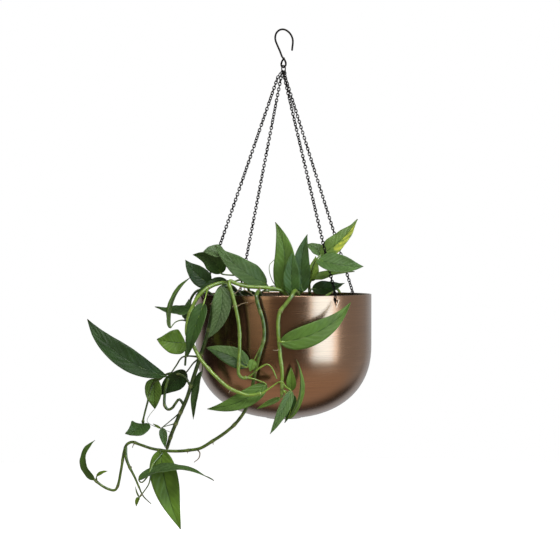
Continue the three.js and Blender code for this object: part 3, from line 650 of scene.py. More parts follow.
@dataclass(frozen=True)
class PottingSoil:
    """Moist potting mix: dark crumbs and a little fibre."""

    name: str
    wet: Colour
    dry: Colour
    grain: float = 900.0

    def material(self) -> Material:
        """The finish as a material.

        Returns:
            A new material.
        """
        recipe = Recipe(self.name)
        crumbs = recipe.noise(self.grain, detail=5.0, roughness=0.7)
        patches = recipe.rise(recipe.noise(120.0, detail=2.0), 0.4, 0.7)
        colour = recipe.mix(recipe.rise(crumbs, 0.35, 0.7), self.wet, self.dry)
        recipe.set(Base_Color=recipe.mix(patches, colour, self.wet), Roughness=0.92)
        recipe.bump(crumbs, 0.0009, 0.8)
        return recipe.material


class BladeSide(Enum):
    """The two faces of a leaf's blade."""

    UPPER = "upper"
    UNDER = "under"


@dataclass(frozen=True)
class LeafSkin:
    """A leaf's face: green, silvered between its side veins, with a dark midrib above.

    Each blade carries its own bright, silver and yellow numbers, and a map that runs from its
    base to its tip and from edge to edge.
    """

    side: BladeSide
    deep: Colour
    green: Colour
    fresh: Colour
    yellow: Colour
    silver: Colour
    midrib: Colour
    roughness: float
    veins: float = 9.0
    vein_lean: float = 2.2

    def material(self) -> Material:
        """The finish as a material.

        Returns:
            A new material.
        """
        recipe = Recipe(f"leaf_{self.side.value}")
        mapped = recipe.node("UVMap", uv_map="blade").outputs["UV"]
        along, across, _ = recipe.node("SeparateXYZ", {0: mapped}).outputs
        from_rib = recipe.math("ABSOLUTE", recipe.math("SUBTRACT", across, 0.5))
        rib = recipe.rise(from_rib, 0.012, 0.03, 1.0, 0.0)
        wobble = recipe.math("MULTIPLY", recipe.noise(60.0), 0.9)
        lean = recipe.math("MULTIPLY", from_rib, self.vein_lean * 2)
        phase = recipe.math("SUBTRACT", recipe.math("MULTIPLY", along, self.veins), lean)
        phase = recipe.math("ADD", phase, wobble)
        ridge = recipe.math("COSINE", recipe.math("MULTIPLY", phase, math.tau))
        line = recipe.rise(ridge, 0.72, 1.0)

        bright, silver = recipe.attribute("bright"), recipe.attribute("silver")
        body = recipe.mix(recipe.rise(bright, 0.0, 0.5), self.deep, self.green)
        body = recipe.mix(recipe.rise(bright, 0.45, 1.0), body, self.fresh)
        body = recipe.mix(recipe.attribute("yellow"), body, self.yellow)
        cloud = recipe.rise(recipe.noise(38.0, detail=3.0), 0.3, 0.72, 0.66, 1.18)
        shaded = recipe.node("VectorMath", {0: body, "Scale": cloud}, operation="SCALE")
        fleck = recipe.rise(recipe.noise(700.0, detail=2.0), 0.35, 0.68, 0.45, 1.0)
        film = recipe.rise(ridge, -1.0, 0.9, 1.0, 0.74)
        film = recipe.math("MULTIPLY", recipe.math("MULTIPLY", film, fleck), silver)
        film = recipe.math("MULTIPLY", film, 0.92)
        skin = recipe.mix(film, shaded.outputs[0], self.silver)
        skin = recipe.mix(recipe.math("MULTIPLY", line, 0.14), skin, self.deep)
        skin = recipe.mix(recipe.math("MULTIPLY", rib, 0.6), skin, self.midrib)
        margin = recipe.math("MULTIPLY", recipe.rise(from_rib, 0.485, 0.5), 0.25)
        skin = recipe.mix(margin, skin, self.fresh)
        burnt = recipe.math("MULTIPLY", recipe.rise(along, 0.965, 0.995), 0.8)
        skin = recipe.mix(burnt, skin, (0.06, 0.045, 0.015))
        recipe.set(
            Base_Color=skin, Specular_IOR_Level=0.17,
            Roughness=recipe.rise(ridge, -1.0, 1.0, self.roughness - 0.04, self.roughness + 0.05),
        )
        quilt = recipe.math("ADD", recipe.rise(ridge, -1.0, 1.0, 1.0, 0.0),
                            recipe.math("MULTIPLY", recipe.noise(420.0), 0.15))
        recipe.bump(recipe.math("SUBTRACT", quilt, rib), 0.00025, 0.55)
        return recipe.material


@dataclass(frozen=True)
class StemSkin:
    """Stem and stalk: green to yellow-green, pale at the nodes, tan and rough where it roots."""

    name: str = "stem_skin"
    dark: Colour = (0.022, 0.048, 0.008)
    light: Colour = (0.185, 0.300, 0.032)
    node: Colour = (0.200, 0.260, 0.070)
    scar: Colour = (0.075, 0.045, 0.020)
    root: Colour = (0.200, 0.150, 0.080)

    def material(self) -> Material:
        """The finish as a material.

        Returns:
            A new material.
        """
        recipe = Recipe(self.name)
        streak = recipe.rise(recipe.noise(160.0, detail=3.0), 0.3, 0.75, -0.16, 0.16)
        tone = recipe.math("ADD", recipe.attribute("light"), streak)
        body = recipe.mix(recipe.rise(tone, 0.0, 1.0), self.dark, self.light)
        joint = recipe.attribute("joint")
        body = recipe.mix(recipe.rise(joint, 0.25, 0.75, 0.0, 0.4), body, self.node)
        body = recipe.mix(recipe.rise(joint, 0.86, 1.0, 0.0, 0.6), body, self.scar)
        bark = recipe.rise(recipe.noise(700.0, detail=3.0), 0.35, 0.75)
        root = recipe.mix(bark, self.root, self.scar)
        body = recipe.mix(recipe.attribute("root"), body, root)
        recipe.set(
            Base_Color=body, Specular_IOR_Level=0.5, Coat_Weight=0.35, Coat_Roughness=0.2,
            Roughness=recipe.rise(recipe.attribute("root"), 0.0, 1.0, 0.36, 0.8),
        )
        recipe.bump(recipe.noise(1100.0, detail=2.0), 0.00012, 0.5)
        return recipe.material


@dataclass(frozen=True)
class Hanger:
    """The wire hook, and the small oval ring that gathers the four chains."""

    wire: float = 2.35
    crown: tuple[Point, ...] = (
        (10.6, 0, -26.2), (11.0, 0, -22.0), (11.6, 0, -17.0), (11.5, 0, -12.2), (9.9, 0, -7.3),
        (6.8, 0, -3.1), (2.8, 0, -0.2), (-1.0, 0, 0.7), (-5.2, 0, -0.3), (-8.8, 0, -3.75),
        (-10.3, 0, -8.4), (-10.0, 0, -13.2), (-7.8, 0, -19.0), (-4.7, 0, -26.0), (-1.75, 0, -33.4),
    )
    eye_turn: float = -38.0
    eye_half_width: float = 3.75
    eye_bottom: float = -46.7
    ring_wire: float = 1.5
    ring_half_width: float = 3.6
    ring_half_height: float = 4.2
    ring_turn: float = 52.0
    ring_squareness: float = 3.0
    ring_clearance: float = 0.3
    wire_sides: int = 14
    hook_sections: int = 220
    ring_sections: int = 56
    end_radius: float = 0.12

    @property
    def ring_centre(self) -> Vector:
        """The middle of the ring, which hangs in the hook's eye."""
        top = self.eye_bottom + self.wire / 2 + self.ring_wire / 2 + self.ring_clearance
        return Vector((0, 0, top - self.ring_half_height))

    def hook_path(self) -> SmoothPath:
        """The hook's wire from its free end, over the crown and down to the twisted eye.

        Returns:
            The way of the wire.
        """
        points = list(self.crown)
        across, behind = azimuth_vector(self.eye_turn), azimuth_vector(self.eye_turn + 90)
        eye = [
            (0.55, 0.1, -38.2), (0.97, 0, -42.0), (0.84, 0, -44.8), (0, 0, self.eye_bottom),
            (-0.84, 0, -44.8), (-0.97, 0.1, -42.0), (-0.72, 0.9, -38.4), (-0.3, 2.3, -35.2),
            (-0.2, 2.6, -33.9),
        ]
        for sideways, backwards, height in eye:
            place = across * (sideways * self.eye_half_width) + behind * backwards
            points.append((place.x, place.y, height))
        return SmoothPath(points)

    def build(self, steel: Material) -> None:
        """Models the hook and the ring.

        Args:
            steel: The finish of both.
        """
        path = self.hook_path()
        distances = even_steps(path.length, self.hook_sections)
        rounding = self.wire / 2
        radii = []
        for distance in distances:
            inset = max(0.0, rounding - min(distance, path.length - distance))
            radii.append(max(self.end_radius, math.sqrt(max(0.0, rounding ** 2 - inset ** 2))))
        hook = Workpiece()
        hook.sweep(path.stations(distances, radii, Vector((0, 1, 0))), self.wire_sides)
        hook.install("hook_wire", [steel], Placing("hook", "black_wire", ("hook",)))
        oval = WireOval(
            self.ring_centre, azimuth_vector(self.ring_turn), self.ring_half_height,
            self.ring_half_width, self.ring_wire, self.ring_squareness,
        )
        ring = Workpiece()
        ring.sweep(oval.stations(self.ring_sections), self.wire_sides, closed=True)
        ring.install("chain_ring", [steel], Placing("ring", "black_wire", ("ring",)))

    def seat(self, offset: float) -> tuple[Vector, Vector]:
        """Where a chain hangs on the ring's lower arc.

        Args:
            offset: How far along the ring from its middle.

        Returns:
            The place on the wire's centre line, and the wire's direction there.
        """
        part = abs(offset) / self.ring_half_width
        power = self.ring_squareness
        drop = (1 - part ** power) ** (1 / power)
        slope = self.ring_half_height / self.ring_half_width * (part / drop) ** (power - 1)
        across = azimuth_vector(self.ring_turn)
        place = across * offset + self.ring_centre - UP * self.ring_half_height * drop
        return place, (across + UP * math.copysign(slope, offset)).normalized()


@dataclass(frozen=True)
class Bowl:
    """The brushed bowl: a straight side, a round bottom with a small flat, and a hemmed rim."""

    rim: float = -330.0
    radius: float = 110.0
    height: float = 155.0
    side_height: float = 63.0
    wall: float = 1.2
    hem_wall: float = 1.8
    hem_height: float = 2.6
    base_radius: float = 22.0
    base_blend: float = 1.12
    squareness: float = 2.3
    hole_radius: float = 2.0
    hole_drop: float = 6.0
    hole_segments: int = 32
    bottom_steps: int = 26
    steps: int = 144

    def round_bottom(self, radius: float, height: float) -> list[tuple[float, float]]:
        """The outline from the end of the straight side to the flat base.

        Args:
            radius: The radius of the straight side.
            height: How far the base is below the rim.

        Returns:
            The radius and the height of each point.
        """
        power = 2 / self.squareness
        points = []
        for step in range(self.bottom_steps + 1):
            angle = step / self.bottom_steps * math.pi / 2
            across = radius * math.cos(angle) ** power
            if across <= self.base_radius * self.base_blend:
                break
            drop = (height - self.side_height) * math.sin(angle) ** power
            points.append((across, self.rim - self.side_height - drop))
        points.append((self.base_radius, self.rim - height))
        return points

    def profile(self) -> list[tuple[float, float]]:
        """The wall's outline, from the middle underneath round the hem to the middle inside.

        Returns:
            The radius and the height of each point.
        """
        inner = self.radius - self.wall
        hem = self.radius - self.hem_wall
        straight = [self.rim - self.side_height * part for part in (0.75, 0.5, 0.25, 0.08)]
        return [
            (0, self.rim - self.height),
            *reversed(self.round_bottom(self.radius, self.height)),
            *[(self.radius, height) for height in straight],
            (self.radius, self.rim - 0.5), (self.radius - 0.2, self.rim - 0.1),
            (self.radius - 0.6, self.rim), (hem + 0.5, self.rim), (hem + 0.1, self.rim - 0.2),
            (hem, self.rim - 0.6), (hem, self.rim - self.hem_height),
            (inner, self.rim - self.hem_height - 0.5),
            *[(inner, height) for height in reversed(straight)],
            *self.round_bottom(inner, self.height - self.wall),
            (0, self.rim - self.height + self.wall),
        ]

    def build(self, azimuths: Iterable[float], outside: Material, inside: Material) -> None:
        """Turns the bowl, drills it and dresses its two faces.

        Args:
            azimuths: Where the four holes are, in degrees from +X.
            outside: The polished finish.
            inside: The duller finish.
        """
        shell = Workpiece()
        shell.lathe(self.profile(), self.steps)
        bmesh.ops.recalc_face_normals(shell.mesh, faces=shell.mesh.faces[:])
        # The duller finish starts below the hem, on faces that look inwards or up
        for face in shell.mesh.faces:
            middle = face.calc_center_median()
            outward = face.normal.x * middle.x + face.normal.y * middle.y
            is_inner = outward < -0.1 * middle.xy.length or face.normal.z > 0.2
            below_hem = middle.z < self.rim - self.hem_height - 0.1
            face.material_index = 1 if is_inner and below_hem else 0
        piece = shell.install("bowl_shell", [outside, inside],
                              Placing(PLANTER, "brushed_bronze", ("bowl",)), crease=50.0)
        tool = Workpiece()
        for azimuth in azimuths:
            place = (Matrix.Rotation(math.radians(azimuth), 4, "Z")
                     @ Matrix.Translation((self.radius, 0, self.rim - self.hole_drop))
                     @ Matrix.Rotation(math.pi / 2, 4, "Y"))
            tool.drill(place, self.hole_radius, self.hole_segments)
        cut_away(piece, tool)


class Corner(Enum):
    """The four chains, in the order in which they hang along the ring."""

    FRONT_LEFT = (206.5, -3.0)
    FRONT_RIGHT = (-56.0, 0.0)
    BACK_LEFT = (121.5, -2.2)
    BACK_RIGHT = (35.0, -1.1)

    @property
    def azimuth(self) -> float:
        """Where the chain's hole is in the bowl, in degrees from +X."""
        return self.value[0]

    @property
    def lean(self) -> float:
        """How far the chain's top is pushed along +X by its neighbours on the ring."""
        return self.value[1]

    @property
    def title(self) -> str:
        """The corner's name in the names of its pieces."""
        return self.name.lower()


@dataclass(frozen=True)
class Chains:
    """Four chains of small oval links, and the larger link in each hole under the bowl's rim."""

    hanger: Hanger
    bowl: Bowl
    wire: float = 1.3
    link_width: float = 4.7
    link_squareness: float = 2.3
    link_play: float = 0.04
    link_sections: int = 10
    link_sides: int = 5
    pitch: float = 3.62
    ring_spacing: float = 1.6
    top_link_width: float = 5.0
    clearance: float = 0.42
    lean_length: float = 7.0
    settling_links: int = 9
    wander: float = 1.5
    wander_pace: float = 0.13
    rim_wire: float = 1.35
    rim_half_height: float = 3.7
    rim_half_width: float = 2.3
    rim_squareness: float = 2.4
    rim_clearance: float = 0.45
    rim_sections: int = 28
    rim_sides: int = 10

    def rim_link(self, corner: Corner) -> WireOval:
        """The upright link in a corner's hole.

        Args:
            corner: Which chain it carries.

        Returns:
            The oval of its wire.
        """
        outward = azimuth_vector(corner.azimuth)
        hole_top = self.bowl.rim - self.bowl.hole_drop + self.bowl.hole_radius
        bottom = hole_top - self.rim_wire / 2 - self.rim_clearance
        centre = outward * (self.bowl.radius - self.bowl.hem_wall / 2)
        centre.z = bottom + self.rim_half_height
        return WireOval(centre, outward, self.rim_half_height, self.rim_half_width, self.rim_wire,
                        self.rim_squareness)

    def link_mesh(self, pitch: float, width: float) -> Mesh:
        """One small link, upright in the XZ plane, that meshes with the next.

        Args:
            pitch: How far apart two links are.
            width: How wide the link is.

        Returns:
            A mesh in millimetres.
        """
        length = pitch + 2 * self.wire + self.link_play
        oval = WireOval(Vector((0, 0, 0)), Vector((1, 0, 0)), (length - self.wire) / 2,
                        (width - self.wire) / 2, self.wire, self.link_squareness)
        link = Workpiece()
        link.sweep(oval.stations(self.link_sections), self.link_sides, closed=True)
        return link.as_mesh("chain_link", crease=80.0)

    def route(self, corner: Corner) -> tuple[Vector, Vector, Vector, Vector]:
        """Where a chain starts and ends.

        Args:
            corner: Which chain it is.

        Returns:
            The centre of its first link, that of its last, and the directions that the two face.
        """
        offset = (list(Corner).index(corner) - 1.5) * self.ring_spacing
        seat, wire_direction = self.hanger.seat(offset)
        link = self.rim_link(corner)
        top = link.centre + UP * self.rim_half_height
        down = (top - seat).normalized()
        first = (down * self.lean_length + Vector((corner.lean, 0, 0))).normalized()
        half = (self.pitch + self.wire) / 2
        upper = half - self.wire / 2 - self.hanger.ring_wire / 2 - self.clearance
        lower = half - self.wire / 2 - self.rim_wire / 2 - self.rim_clearance
        return (seat + first * upper, top - down * lower, square_to(wire_direction, down),
                square_to(link.across, down))

    def spins(self, first: Vector, last: Vector, down: Vector, count: int,
              seed: float) -> list[float]:
        """How far each link of a chain is turned about it, from the first link's face.

        Args:
            first: The direction that the first link faces.
            last: The direction that the last link faces.
            down: The direction of the chain.
            count: How many links follow the first.
            seed: A number that sets how this chain wanders.

        Returns:
            One angle in radians for each link. They soon turn to the front, and wander about that
            up to the last ones.
        """

        def turn_to(face: Vector) -> float:
            """The angle about the chain from the first face to another."""
            return math.atan2(first.cross(face).dot(down), first.dot(face))

        front = turn_to(square_to(Vector((0, -1, 0)), down))
        front -= math.pi / 2 * round(front / (math.pi / 2))
        end = turn_to(last)
        end -= math.pi * round((end - front) / math.pi)
        found = []
        for index in range(count + 1):
            away = smooth_step(0, self.settling_links, index)
            home = smooth_step(count - self.settling_links, count, index)
            sway = self.wander * noise.noise(Vector((index * self.wander_pace, seed, 0)))
            found.append(blend(front * away, end, home) + sway * away * (1 - home))
        return found

    def hang_chain(self, corner: Corner, steel: Material) -> None:
        """Hangs one chain, link by link.

        Args:
            corner: Which chain it is.
            steel: The finish of the wire.
        """
        start, end, first_face, last_face = self.route(corner)
        run = end - start
        down = run.normalized()
        count = 2 * round(run.length / self.pitch / 2)
        pitch = run.length / count
        link = self.link_mesh(pitch, self.link_width)
        top_link = self.link_mesh(pitch, self.top_link_width)
        spins = self.spins(first_face, last_face, down, count, corner.azimuth)
        chain = Workpiece()
        for index in range(count + 1):
            distance = index * pitch
            straight = (run.length - distance) / (run.length - self.lean_length)
            lean = min(distance / self.lean_length, straight)
            centre = start + down * distance + Vector((corner.lean * lean, 0, 0))
            face = Matrix.Rotation(spins[index] + index % 2 * math.pi / 2, 3, down) @ first_face
            turn = turned_to(down.cross(face), face, -down)
            chain.add_copy(link if index else top_link, Matrix.Translation(centre) @ turn)
        name = f"chain_{corner.title}"
        chain.install(f"{name}_links", [steel], Placing(PLANTER, "black_wire", (name,)),
                      crease=80.0, recalculate=False)
        for shape in (link, top_link):
            bpy.data.meshes.remove(shape)

    def build(self, steel: Material) -> None:
        """Hangs every chain and closes its rim link.

        Args:
            steel: The finish of the wire.
        """
        for corner in Corner:
            self.hang_chain(corner, steel)
            loop = Workpiece()
            loop.sweep(self.rim_link(corner).stations(self.rim_sections), self.rim_sides,
                       closed=True)
            loop.install(f"rim_loop_{corner.title}", [steel],
                         Placing(PLANTER, "black_wire", (f"rim_link_{corner.title}",)))


@dataclass(frozen=True)
class PottedSoil:
    """The black nursery pot inside the bowl, its potting mix and the bits on top."""

    rim: float = -344.0
    base: float = -471.1
    rim_radius: float = 97.0
    top_radius: float = 94.5
    base_radius: float = 62.0
    lip: float = 5.0
    wall: float = 1.2
    floor: float = 1.6
    drain_radius: float = 4.0
    drain_circle: float = 44.0
    drains: int = 6
    drain_segments: int = 20
    crown: float = -349.0
    edge: float = -354.0
    gap: float = 0.3
    steps: int = 96
    soil_rings: int = 34

    def pot_profile(self) -> list[tuple[float, float]]:
        """The pot's outline: a tapering wall with a rolled lip and a thin floor.

        Returns:
            The radius and the height of each point.
        """
        slope = (self.top_radius - self.base_radius) / (self.rim - self.lip - self.base)

        def radius_at(height: float) -> float:
            """The outer radius of the wall at a height."""
            return self.base_radius + slope * (height - self.base)

        groove = self.base + 14
        return [
            (0, self.base + 1.2), (self.base_radius - 9, self.base + 1.2),
            (self.base_radius - 7, self.base), (self.base_radius, self.base),
            (radius_at(groove - 1.2), groove - 1.2), (radius_at(groove) - 0.6, groove),
            (radius_at(groove + 1.2), groove + 1.2), (self.top_radius, self.rim - self.lip),
            (self.rim_radius - 0.3, self.rim - self.lip),
            (self.rim_radius, self.rim - self.lip + 0.5), (self.rim_radius, self.rim - 0.7),
            (self.rim_radius - 0.6, self.rim), (self.top_radius - self.wall + 0.6, self.rim),
            (self.top_radius - self.wall, self.rim - 0.7),
            (self.base_radius - self.wall, self.base + self.wall + self.floor),
            (0, self.base + self.wall + self.floor),
        ]

    def soil_height(self, radius: float) -> float:
        """The height of the potting mix at a radius, before its crumbs."""
        part = radius / self.soil_radius
        return blend(self.crown, self.edge, part ** 2.2)

    @property
    def soil_radius(self) -> float:
        """The radius of the potting mix where it meets the pot.

        Returns:
            A radius, a little less than that of the wall.
        """
        slope = (self.top_radius - self.base_radius) / (self.rim - self.base - self.floor)
        bottom = self.base_radius - self.wall - self.gap * 1.6
        return bottom + slope * (self.edge - self.base - self.floor - self.gap)

    def shape_pot(self, plastic: Material) -> None:
        """Turns the nursery pot and cuts its drain holes.

        Args:
            plastic: The pot's finish.
        """
        pot = Workpiece()
        pot.lathe(self.pot_profile(), self.steps)
        piece = pot.install("pot_liner", [plastic],
                            Placing(PLANTER, "black_plastic", ("nursery_pot",)), crease=30.0)
        tool = Workpiece()
        for drain in range(self.drains):
            turn = Matrix.Rotation(math.tau * drain / self.drains, 4, "Z")
            place = turn @ Matrix.Translation((self.drain_circle, 0, self.base))
            tool.drill(place, self.drain_radius, self.drain_segments)
        cut_away(piece, tool)

    @staticmethod
    def lump(place: Vector) -> float:
        """How far the potting mix rises or sinks in broad lumps at a place."""
        return noise.noise(place * 0.09) * 1.5

    def shape_soil(self, soil: Material) -> None:
        """Fills the pot with potting mix, crumbly on top.

        Args:
            soil: The potting mix's finish.
        """
        bottom = self.base + self.wall + self.floor + self.gap
        radii = [self.soil_radius * (1 - ring / self.soil_rings)
                 for ring in range(self.soil_rings + 1)]
        profile = [(0, bottom), (self.base_radius - self.wall - 0.8, bottom),
                   *[(radius, self.soil_height(radius)) for radius in radii]]
        mix = Workpiece()
        mix.lathe(profile, self.steps)
        for vert in mix.mesh.verts:
            if vert.co.z > self.edge - 1 and vert.co.xy.length < self.soil_radius - 0.5:
                crumb = noise.noise(vert.co * 0.42) * 0.9
                vert.co.z += self.lump(vert.co) + crumb
        mix.install("potting_mix", [soil], Placing(PLANTER, "soil", ("soil",)), crease=70.0)

    def scatter(self, name: str, count: int, size: tuple[float, float], seed: int,
                material: Material) -> None:
        """Strews small rough bits over the potting mix.

        Args:
            name: The piece's name.
            count: How many bits there are.
            size: The least and the greatest length of a bit.
            seed: The seed of every draw.
            material: The bits' finish.
        """
        draw = random.Random(seed)
        bits = Workpiece()
        for _ in range(count):
            radius = (self.soil_radius - 3) * math.sqrt(draw.random())
            angle = draw.uniform(0, math.tau)
            length = draw.uniform(*size)
            centre = Vector((radius * math.cos(angle), radius * math.sin(angle), 0))
            centre.z = self.soil_height(radius) + self.lump(centre) + length * 0.12
            turn = Matrix.Rotation(draw.uniform(0, math.tau), 4, "Z") @ Matrix.Rotation(
                draw.uniform(-0.6, 0.6), 4, "X")
            shape = Matrix.Diagonal((length / 2, length * draw.uniform(0.25, 0.45),
                                     length * draw.uniform(0.18, 0.35), 1))
            made = bmesh.ops.create_icosphere(bits.mesh, subdivisions=1, radius=1.0,
                                              matrix=Matrix.Translation(centre) @ turn @ shape)
            for vert in made["verts"]:
                vert.co += (vert.co - centre) * draw.uniform(-0.25, 0.25)
        bits.install(name, [material], Placing(PLANTER, "soil"), crease=25.0)

    def build(self, plastic: Material, soil: Material, bark: Material, perlite: Material) -> None:
        """Models the pot and its filling.

        Args:
            plastic: The pot's finish.
            soil: The potting mix's finish.
            bark: The finish of the bits of bark.
            perlite: The finish of the white grains.
        """
        self.shape_pot(plastic)
        self.shape_soil(soil)
        self.scatter("bark_bits", count=420, size=(1.4, 4.6), seed=11, material=bark)
        self.scatter("perlite_grains", count=90, size=(1.0, 2.4), seed=12, material=perlite)


class Tone(Enum):
    """A blade's colouring: how bright its green is, how silvery it is and how yellow."""

    DARK = (0.10, 0.04, 0.0)
    DEEP = (0.22, 0.13, 0.0)
    PLAIN = (0.42, 0.16, 0.03)
    GREY = (0.27, 0.30, 0.0)
    SILVER = (0.36, 0.50, 0.0)
    FROSTED = (0.18, 0.60, 0.0)
    TWO_TONE = (0.17, 0.66, 0.0)
    FRESH = (0.58, 0.16, 0.06)
    BRIGHT = (0.62, 0.04, 0.05)
    YOUNG = (0.60, 0.06, 0.13)
    MARBLED = (0.50, 0.32, 0.06)
    # Painted shade: the half below the midrib is darkened, and the other half, in OTHER_HALF, stays
    # pale and silvery
    SHADED = (0.10, 0.08, 0.0)

    @staticmethod
    def marbling(along: float, side: float, place: Vector) -> float:
        """How strongly the yellow patch of a marbled blade shows at one point.

        Args:
            along: 0 at the blade's base and 1 at its tip.
            side: -1 and 1 at its edges, 0 at the midrib.
            place: Where the point is.

        Returns:
            A share, which streaks make uneven.
        """
        patch = smooth_step(0.02, 0.20, side) * smooth_step(0.18, 0.32, along)
        patch *= 1 - smooth_step(0.80, 0.93, along)
        patch *= smooth_step(-0.45, -0.05, noise.noise(place * 0.16))
        return patch * (0.62 + 0.38 * math.cos(math.tau * (6 * along - 1.5 * side)))

    def at(self, along: float, side: float, place: Vector) -> dict[str, float]:
        """The numbers for the blade's material at one point.

        Args:
            along: 0 at the blade's base and 1 at its tip.
            side: -1 and 1 at its edges, 0 at the midrib.
            place: Where the point is.

        Returns:
            The values of the channels bright, silver and yellow.
        """
        bright, silver, yellow = self.value
        if side > 0 and self in OTHER_HALF:
            bright, silver = OTHER_HALF[self]
        if self is Tone.MARBLED:
            patch = self.marbling(along, side, place)
            yellow += 0.95 * patch
            silver += 0.2 * patch
        return {"bright": bright, "silver": silver, "yellow": min(1.0, yellow)}


# How bright and how silvery the other half of a blade of two tones is; on a SHADED blade the first
# half is darkened as painted shade and this half is the pale one
OTHER_HALF = {Tone.TWO_TONE: (0.28, 0.62), Tone.SHADED: (0.38, 0.60)}


@dataclass(frozen=True)
class BladeForm:
    """What every blade has in common.

    Attributes:
        along: Steps of its mesh from base to tip.
        across: Steps from edge to edge.
        crowding: Powers by which those steps crowd at the base and at the midrib.
        slimness: The power by which it gets slim towards the tip.
        least: The least half width.
        cupping: The power by which its folded halves curve up.
        wave: How deep its edge waves, and at what width.
        swelling: How high it swells between its side veins.
        veins: How many side veins each half has.
        lean: How far each runs on towards the tip, as a share of the length.
        groove: How deep and how wide the midrib's groove is.
        thickness: Its thickness.
    """

    along: int = 48
    across: int = 14
    crowding: tuple[float, float] = (1.25, 1.3)
    slimness: float = 1.05
    least: float = 0.11
    cupping: float = 1.2
    wave: tuple[float, float] = (0.9, 30.0)
    swelling: float = 0.16
    veins: int = 6
    lean: float = 0.28
    groove: tuple[float, float] = (0.28, 0.9)
    thickness: float = 0.55


BLADE = BladeForm()


@dataclass(frozen=True)
class Leaf:
    """One leaf: the way of its stalk, and its blade from base to tip.

    Attributes:
        stalk: Places that the stalk passes, from the stem on.
        base: Where the stalk meets the blade.
        tip: The blade's tip.
        width: The blade's greatest width.
        tone: Its colouring.
        face: The direction that its upper face looks.
        arch: How far its middle rises above the chord, as a share of the length.
        sweep: How far its middle lies to one side of the chord, as a share of the length.
        fold: How far the halves are folded up, in degrees.
        twist: How far it turns about the midrib between base and tip, in degrees.
        belly: Where it is widest, as a share of the length from its base.
    """

    stalk: Sequence[Point]
    base: Point
    tip: Point
    width: float
    tone: Tone
    face: Point = (0, -1, 0.2)
    arch: float = 0.06
    sweep: float = 0.0
    fold: float = 14.0
    twist: float = 0.0
    belly: float = 0.32

    def axes(self, along: float) -> tuple[Vector, Vector, Vector, Vector]:
        """How the blade lies at a part of its length.

        Args:
            along: The part of its length.

        Returns:
            The midrib's place, its direction, the direction across it and the upper face's normal.
        """
        base = Vector(self.base)
        chord = Vector(self.tip) - base
        unit = chord.normalized()
        facing = square_to(Vector(self.face), unit)
        across = unit.cross(facing)
        bend = facing * self.arch + across * self.sweep
        centre = base + chord * along + bend * chord.length * 4 * along * (1 - along)
        tangent = (unit + bend * 4 * (1 - 2 * along)).normalized()
        turn = Matrix.Rotation(math.radians(self.twist * (along - 0.3)), 3, tangent)
        normal = turn @ square_to(facing, tangent)
        return centre, tangent, tangent.cross(normal), normal

    def half_width(self, along: float) -> float:
        """Half the blade's width.

        Args:
            along: The part of its length.

        Returns:
            The half width, never quite nothing.
        """
        slim = BLADE.slimness
        full = slim * self.belly / (1 - self.belly)
        peak = self.belly ** full * (1 - self.belly) ** slim
        return max(BLADE.least, self.width / 2 * along ** full * (1 - along) ** slim / peak)

    def model_blade(self, blades: Workpiece, draw: random.Random) -> None:
        """Adds the blade as a waved sheet, with a sunken midrib and low swellings between veins.

        Args:
            blades: The piece that holds the blades.
            draw: The source of all chance.
        """
        phase, waves = draw.uniform(0, math.tau), draw.uniform(1.6, 2.8)
        depth = BLADE.wave[0] * self.width / BLADE.wave[1]
        fold = math.radians(self.fold)
        tint = draw.uniform(-0.05, 0.05)
        made = bmesh.ops.create_grid(blades.mesh, x_segments=BLADE.along, y_segments=BLADE.across,
                                     size=1.0)
        for vert in made["verts"]:
            along = ((vert.co.x + 1) / 2) ** BLADE.crowding[0]
            side = -math.copysign(abs(vert.co.y) ** BLADE.crowding[1], vert.co.y)
            centre, _, across, normal = self.axes(along)
            half = self.half_width(along)
            lift = abs(side) ** BLADE.cupping * half * math.sin(fold)
            turn = waves * math.tau * along + phase * (1 + 0.3 * side)
            lift += depth * side * side * math.sin(turn)
            vein = math.tau * BLADE.veins * (along - BLADE.lean * abs(side))
            lift += BLADE.swelling * math.cos(vein) * min(1, half / 8)
            lift -= BLADE.groove[0] * max(0.0, 1 - abs(side) * half / BLADE.groove[1])
            vert.co = centre + across * side * half * math.cos(fold) + normal * lift
            values = self.tone.at(along, side, vert.co)
            values["bright"] += tint
            blades.mark([vert], **values)
            for loop in vert.link_loops:
                loop[blades.blade_map].uv = (along, (side + 1) / 2)

    def stalk_scale(self) -> float:
        """How thick the stalk is beside that of a large leaf."""
        return min(1.0, 0.5 + self.width / 50)

    def model_stalk(self, stems: Workpiece, start: Vector, light: float) -> None:
        """Adds the stalk, sheathed at its foot, and the midrib that it runs into underneath.

        Args:
            stems: The piece that holds the stems.
            start: The place on the stem that the stalk leaves.
            light: How light the stalk is.
        """
        into, _, _, first_normal = self.axes(0.05)
        way = [start, *self.stalk[1:], self.base, into - first_normal * 0.3]
        path = SmoothPath(way)
        distances = even_steps(path.length, max(8, round(path.length / 2.2)))
        radii = []
        for distance in distances:
            part = distance / path.length
            sheath = 1 + 0.5 * math.exp(-(distance / 5.5) ** 2)
            knee = 1 + 0.28 * math.exp(-((path.length - 3.5 - distance) / 2.6) ** 2)
            thin = 1 - 0.45 * smooth_step(path.length - 3, path.length, distance)
            radii.append(self.stalk_scale() * blend(1.15, 0.75, part) * sheath * knee * thin)
        rings = stems.sweep(path.stations(distances, radii, Vector((0.3, 0.2, 0.9))), 8)
        for ring, distance in zip(rings, distances):
            foot = math.exp(-(distance / 4.0) ** 2)
            paler = light + 0.12 * distance / path.length
            stems.mark(ring, light=paler, joint=0.45 * foot, root=0.0)
        stations = []
        rib_start, rib_length, rib_steps = 0.02, 0.86, 22
        for step in range(rib_steps + 1):
            part = rib_start + rib_length * (step / rib_steps)
            centre, tangent, across, normal = self.axes(part)
            radius = self.stalk_scale() * blend(0.72, 0.16, part / 0.88)
            sunk = centre - normal * (0.32 + radius * 0.35)
            stations.append(Station(sunk, tangent, across, radius))
        for ring in stems.sweep(stations, 6):
            stems.mark(ring, light=light + 0.15, joint=0.0, root=0.0)


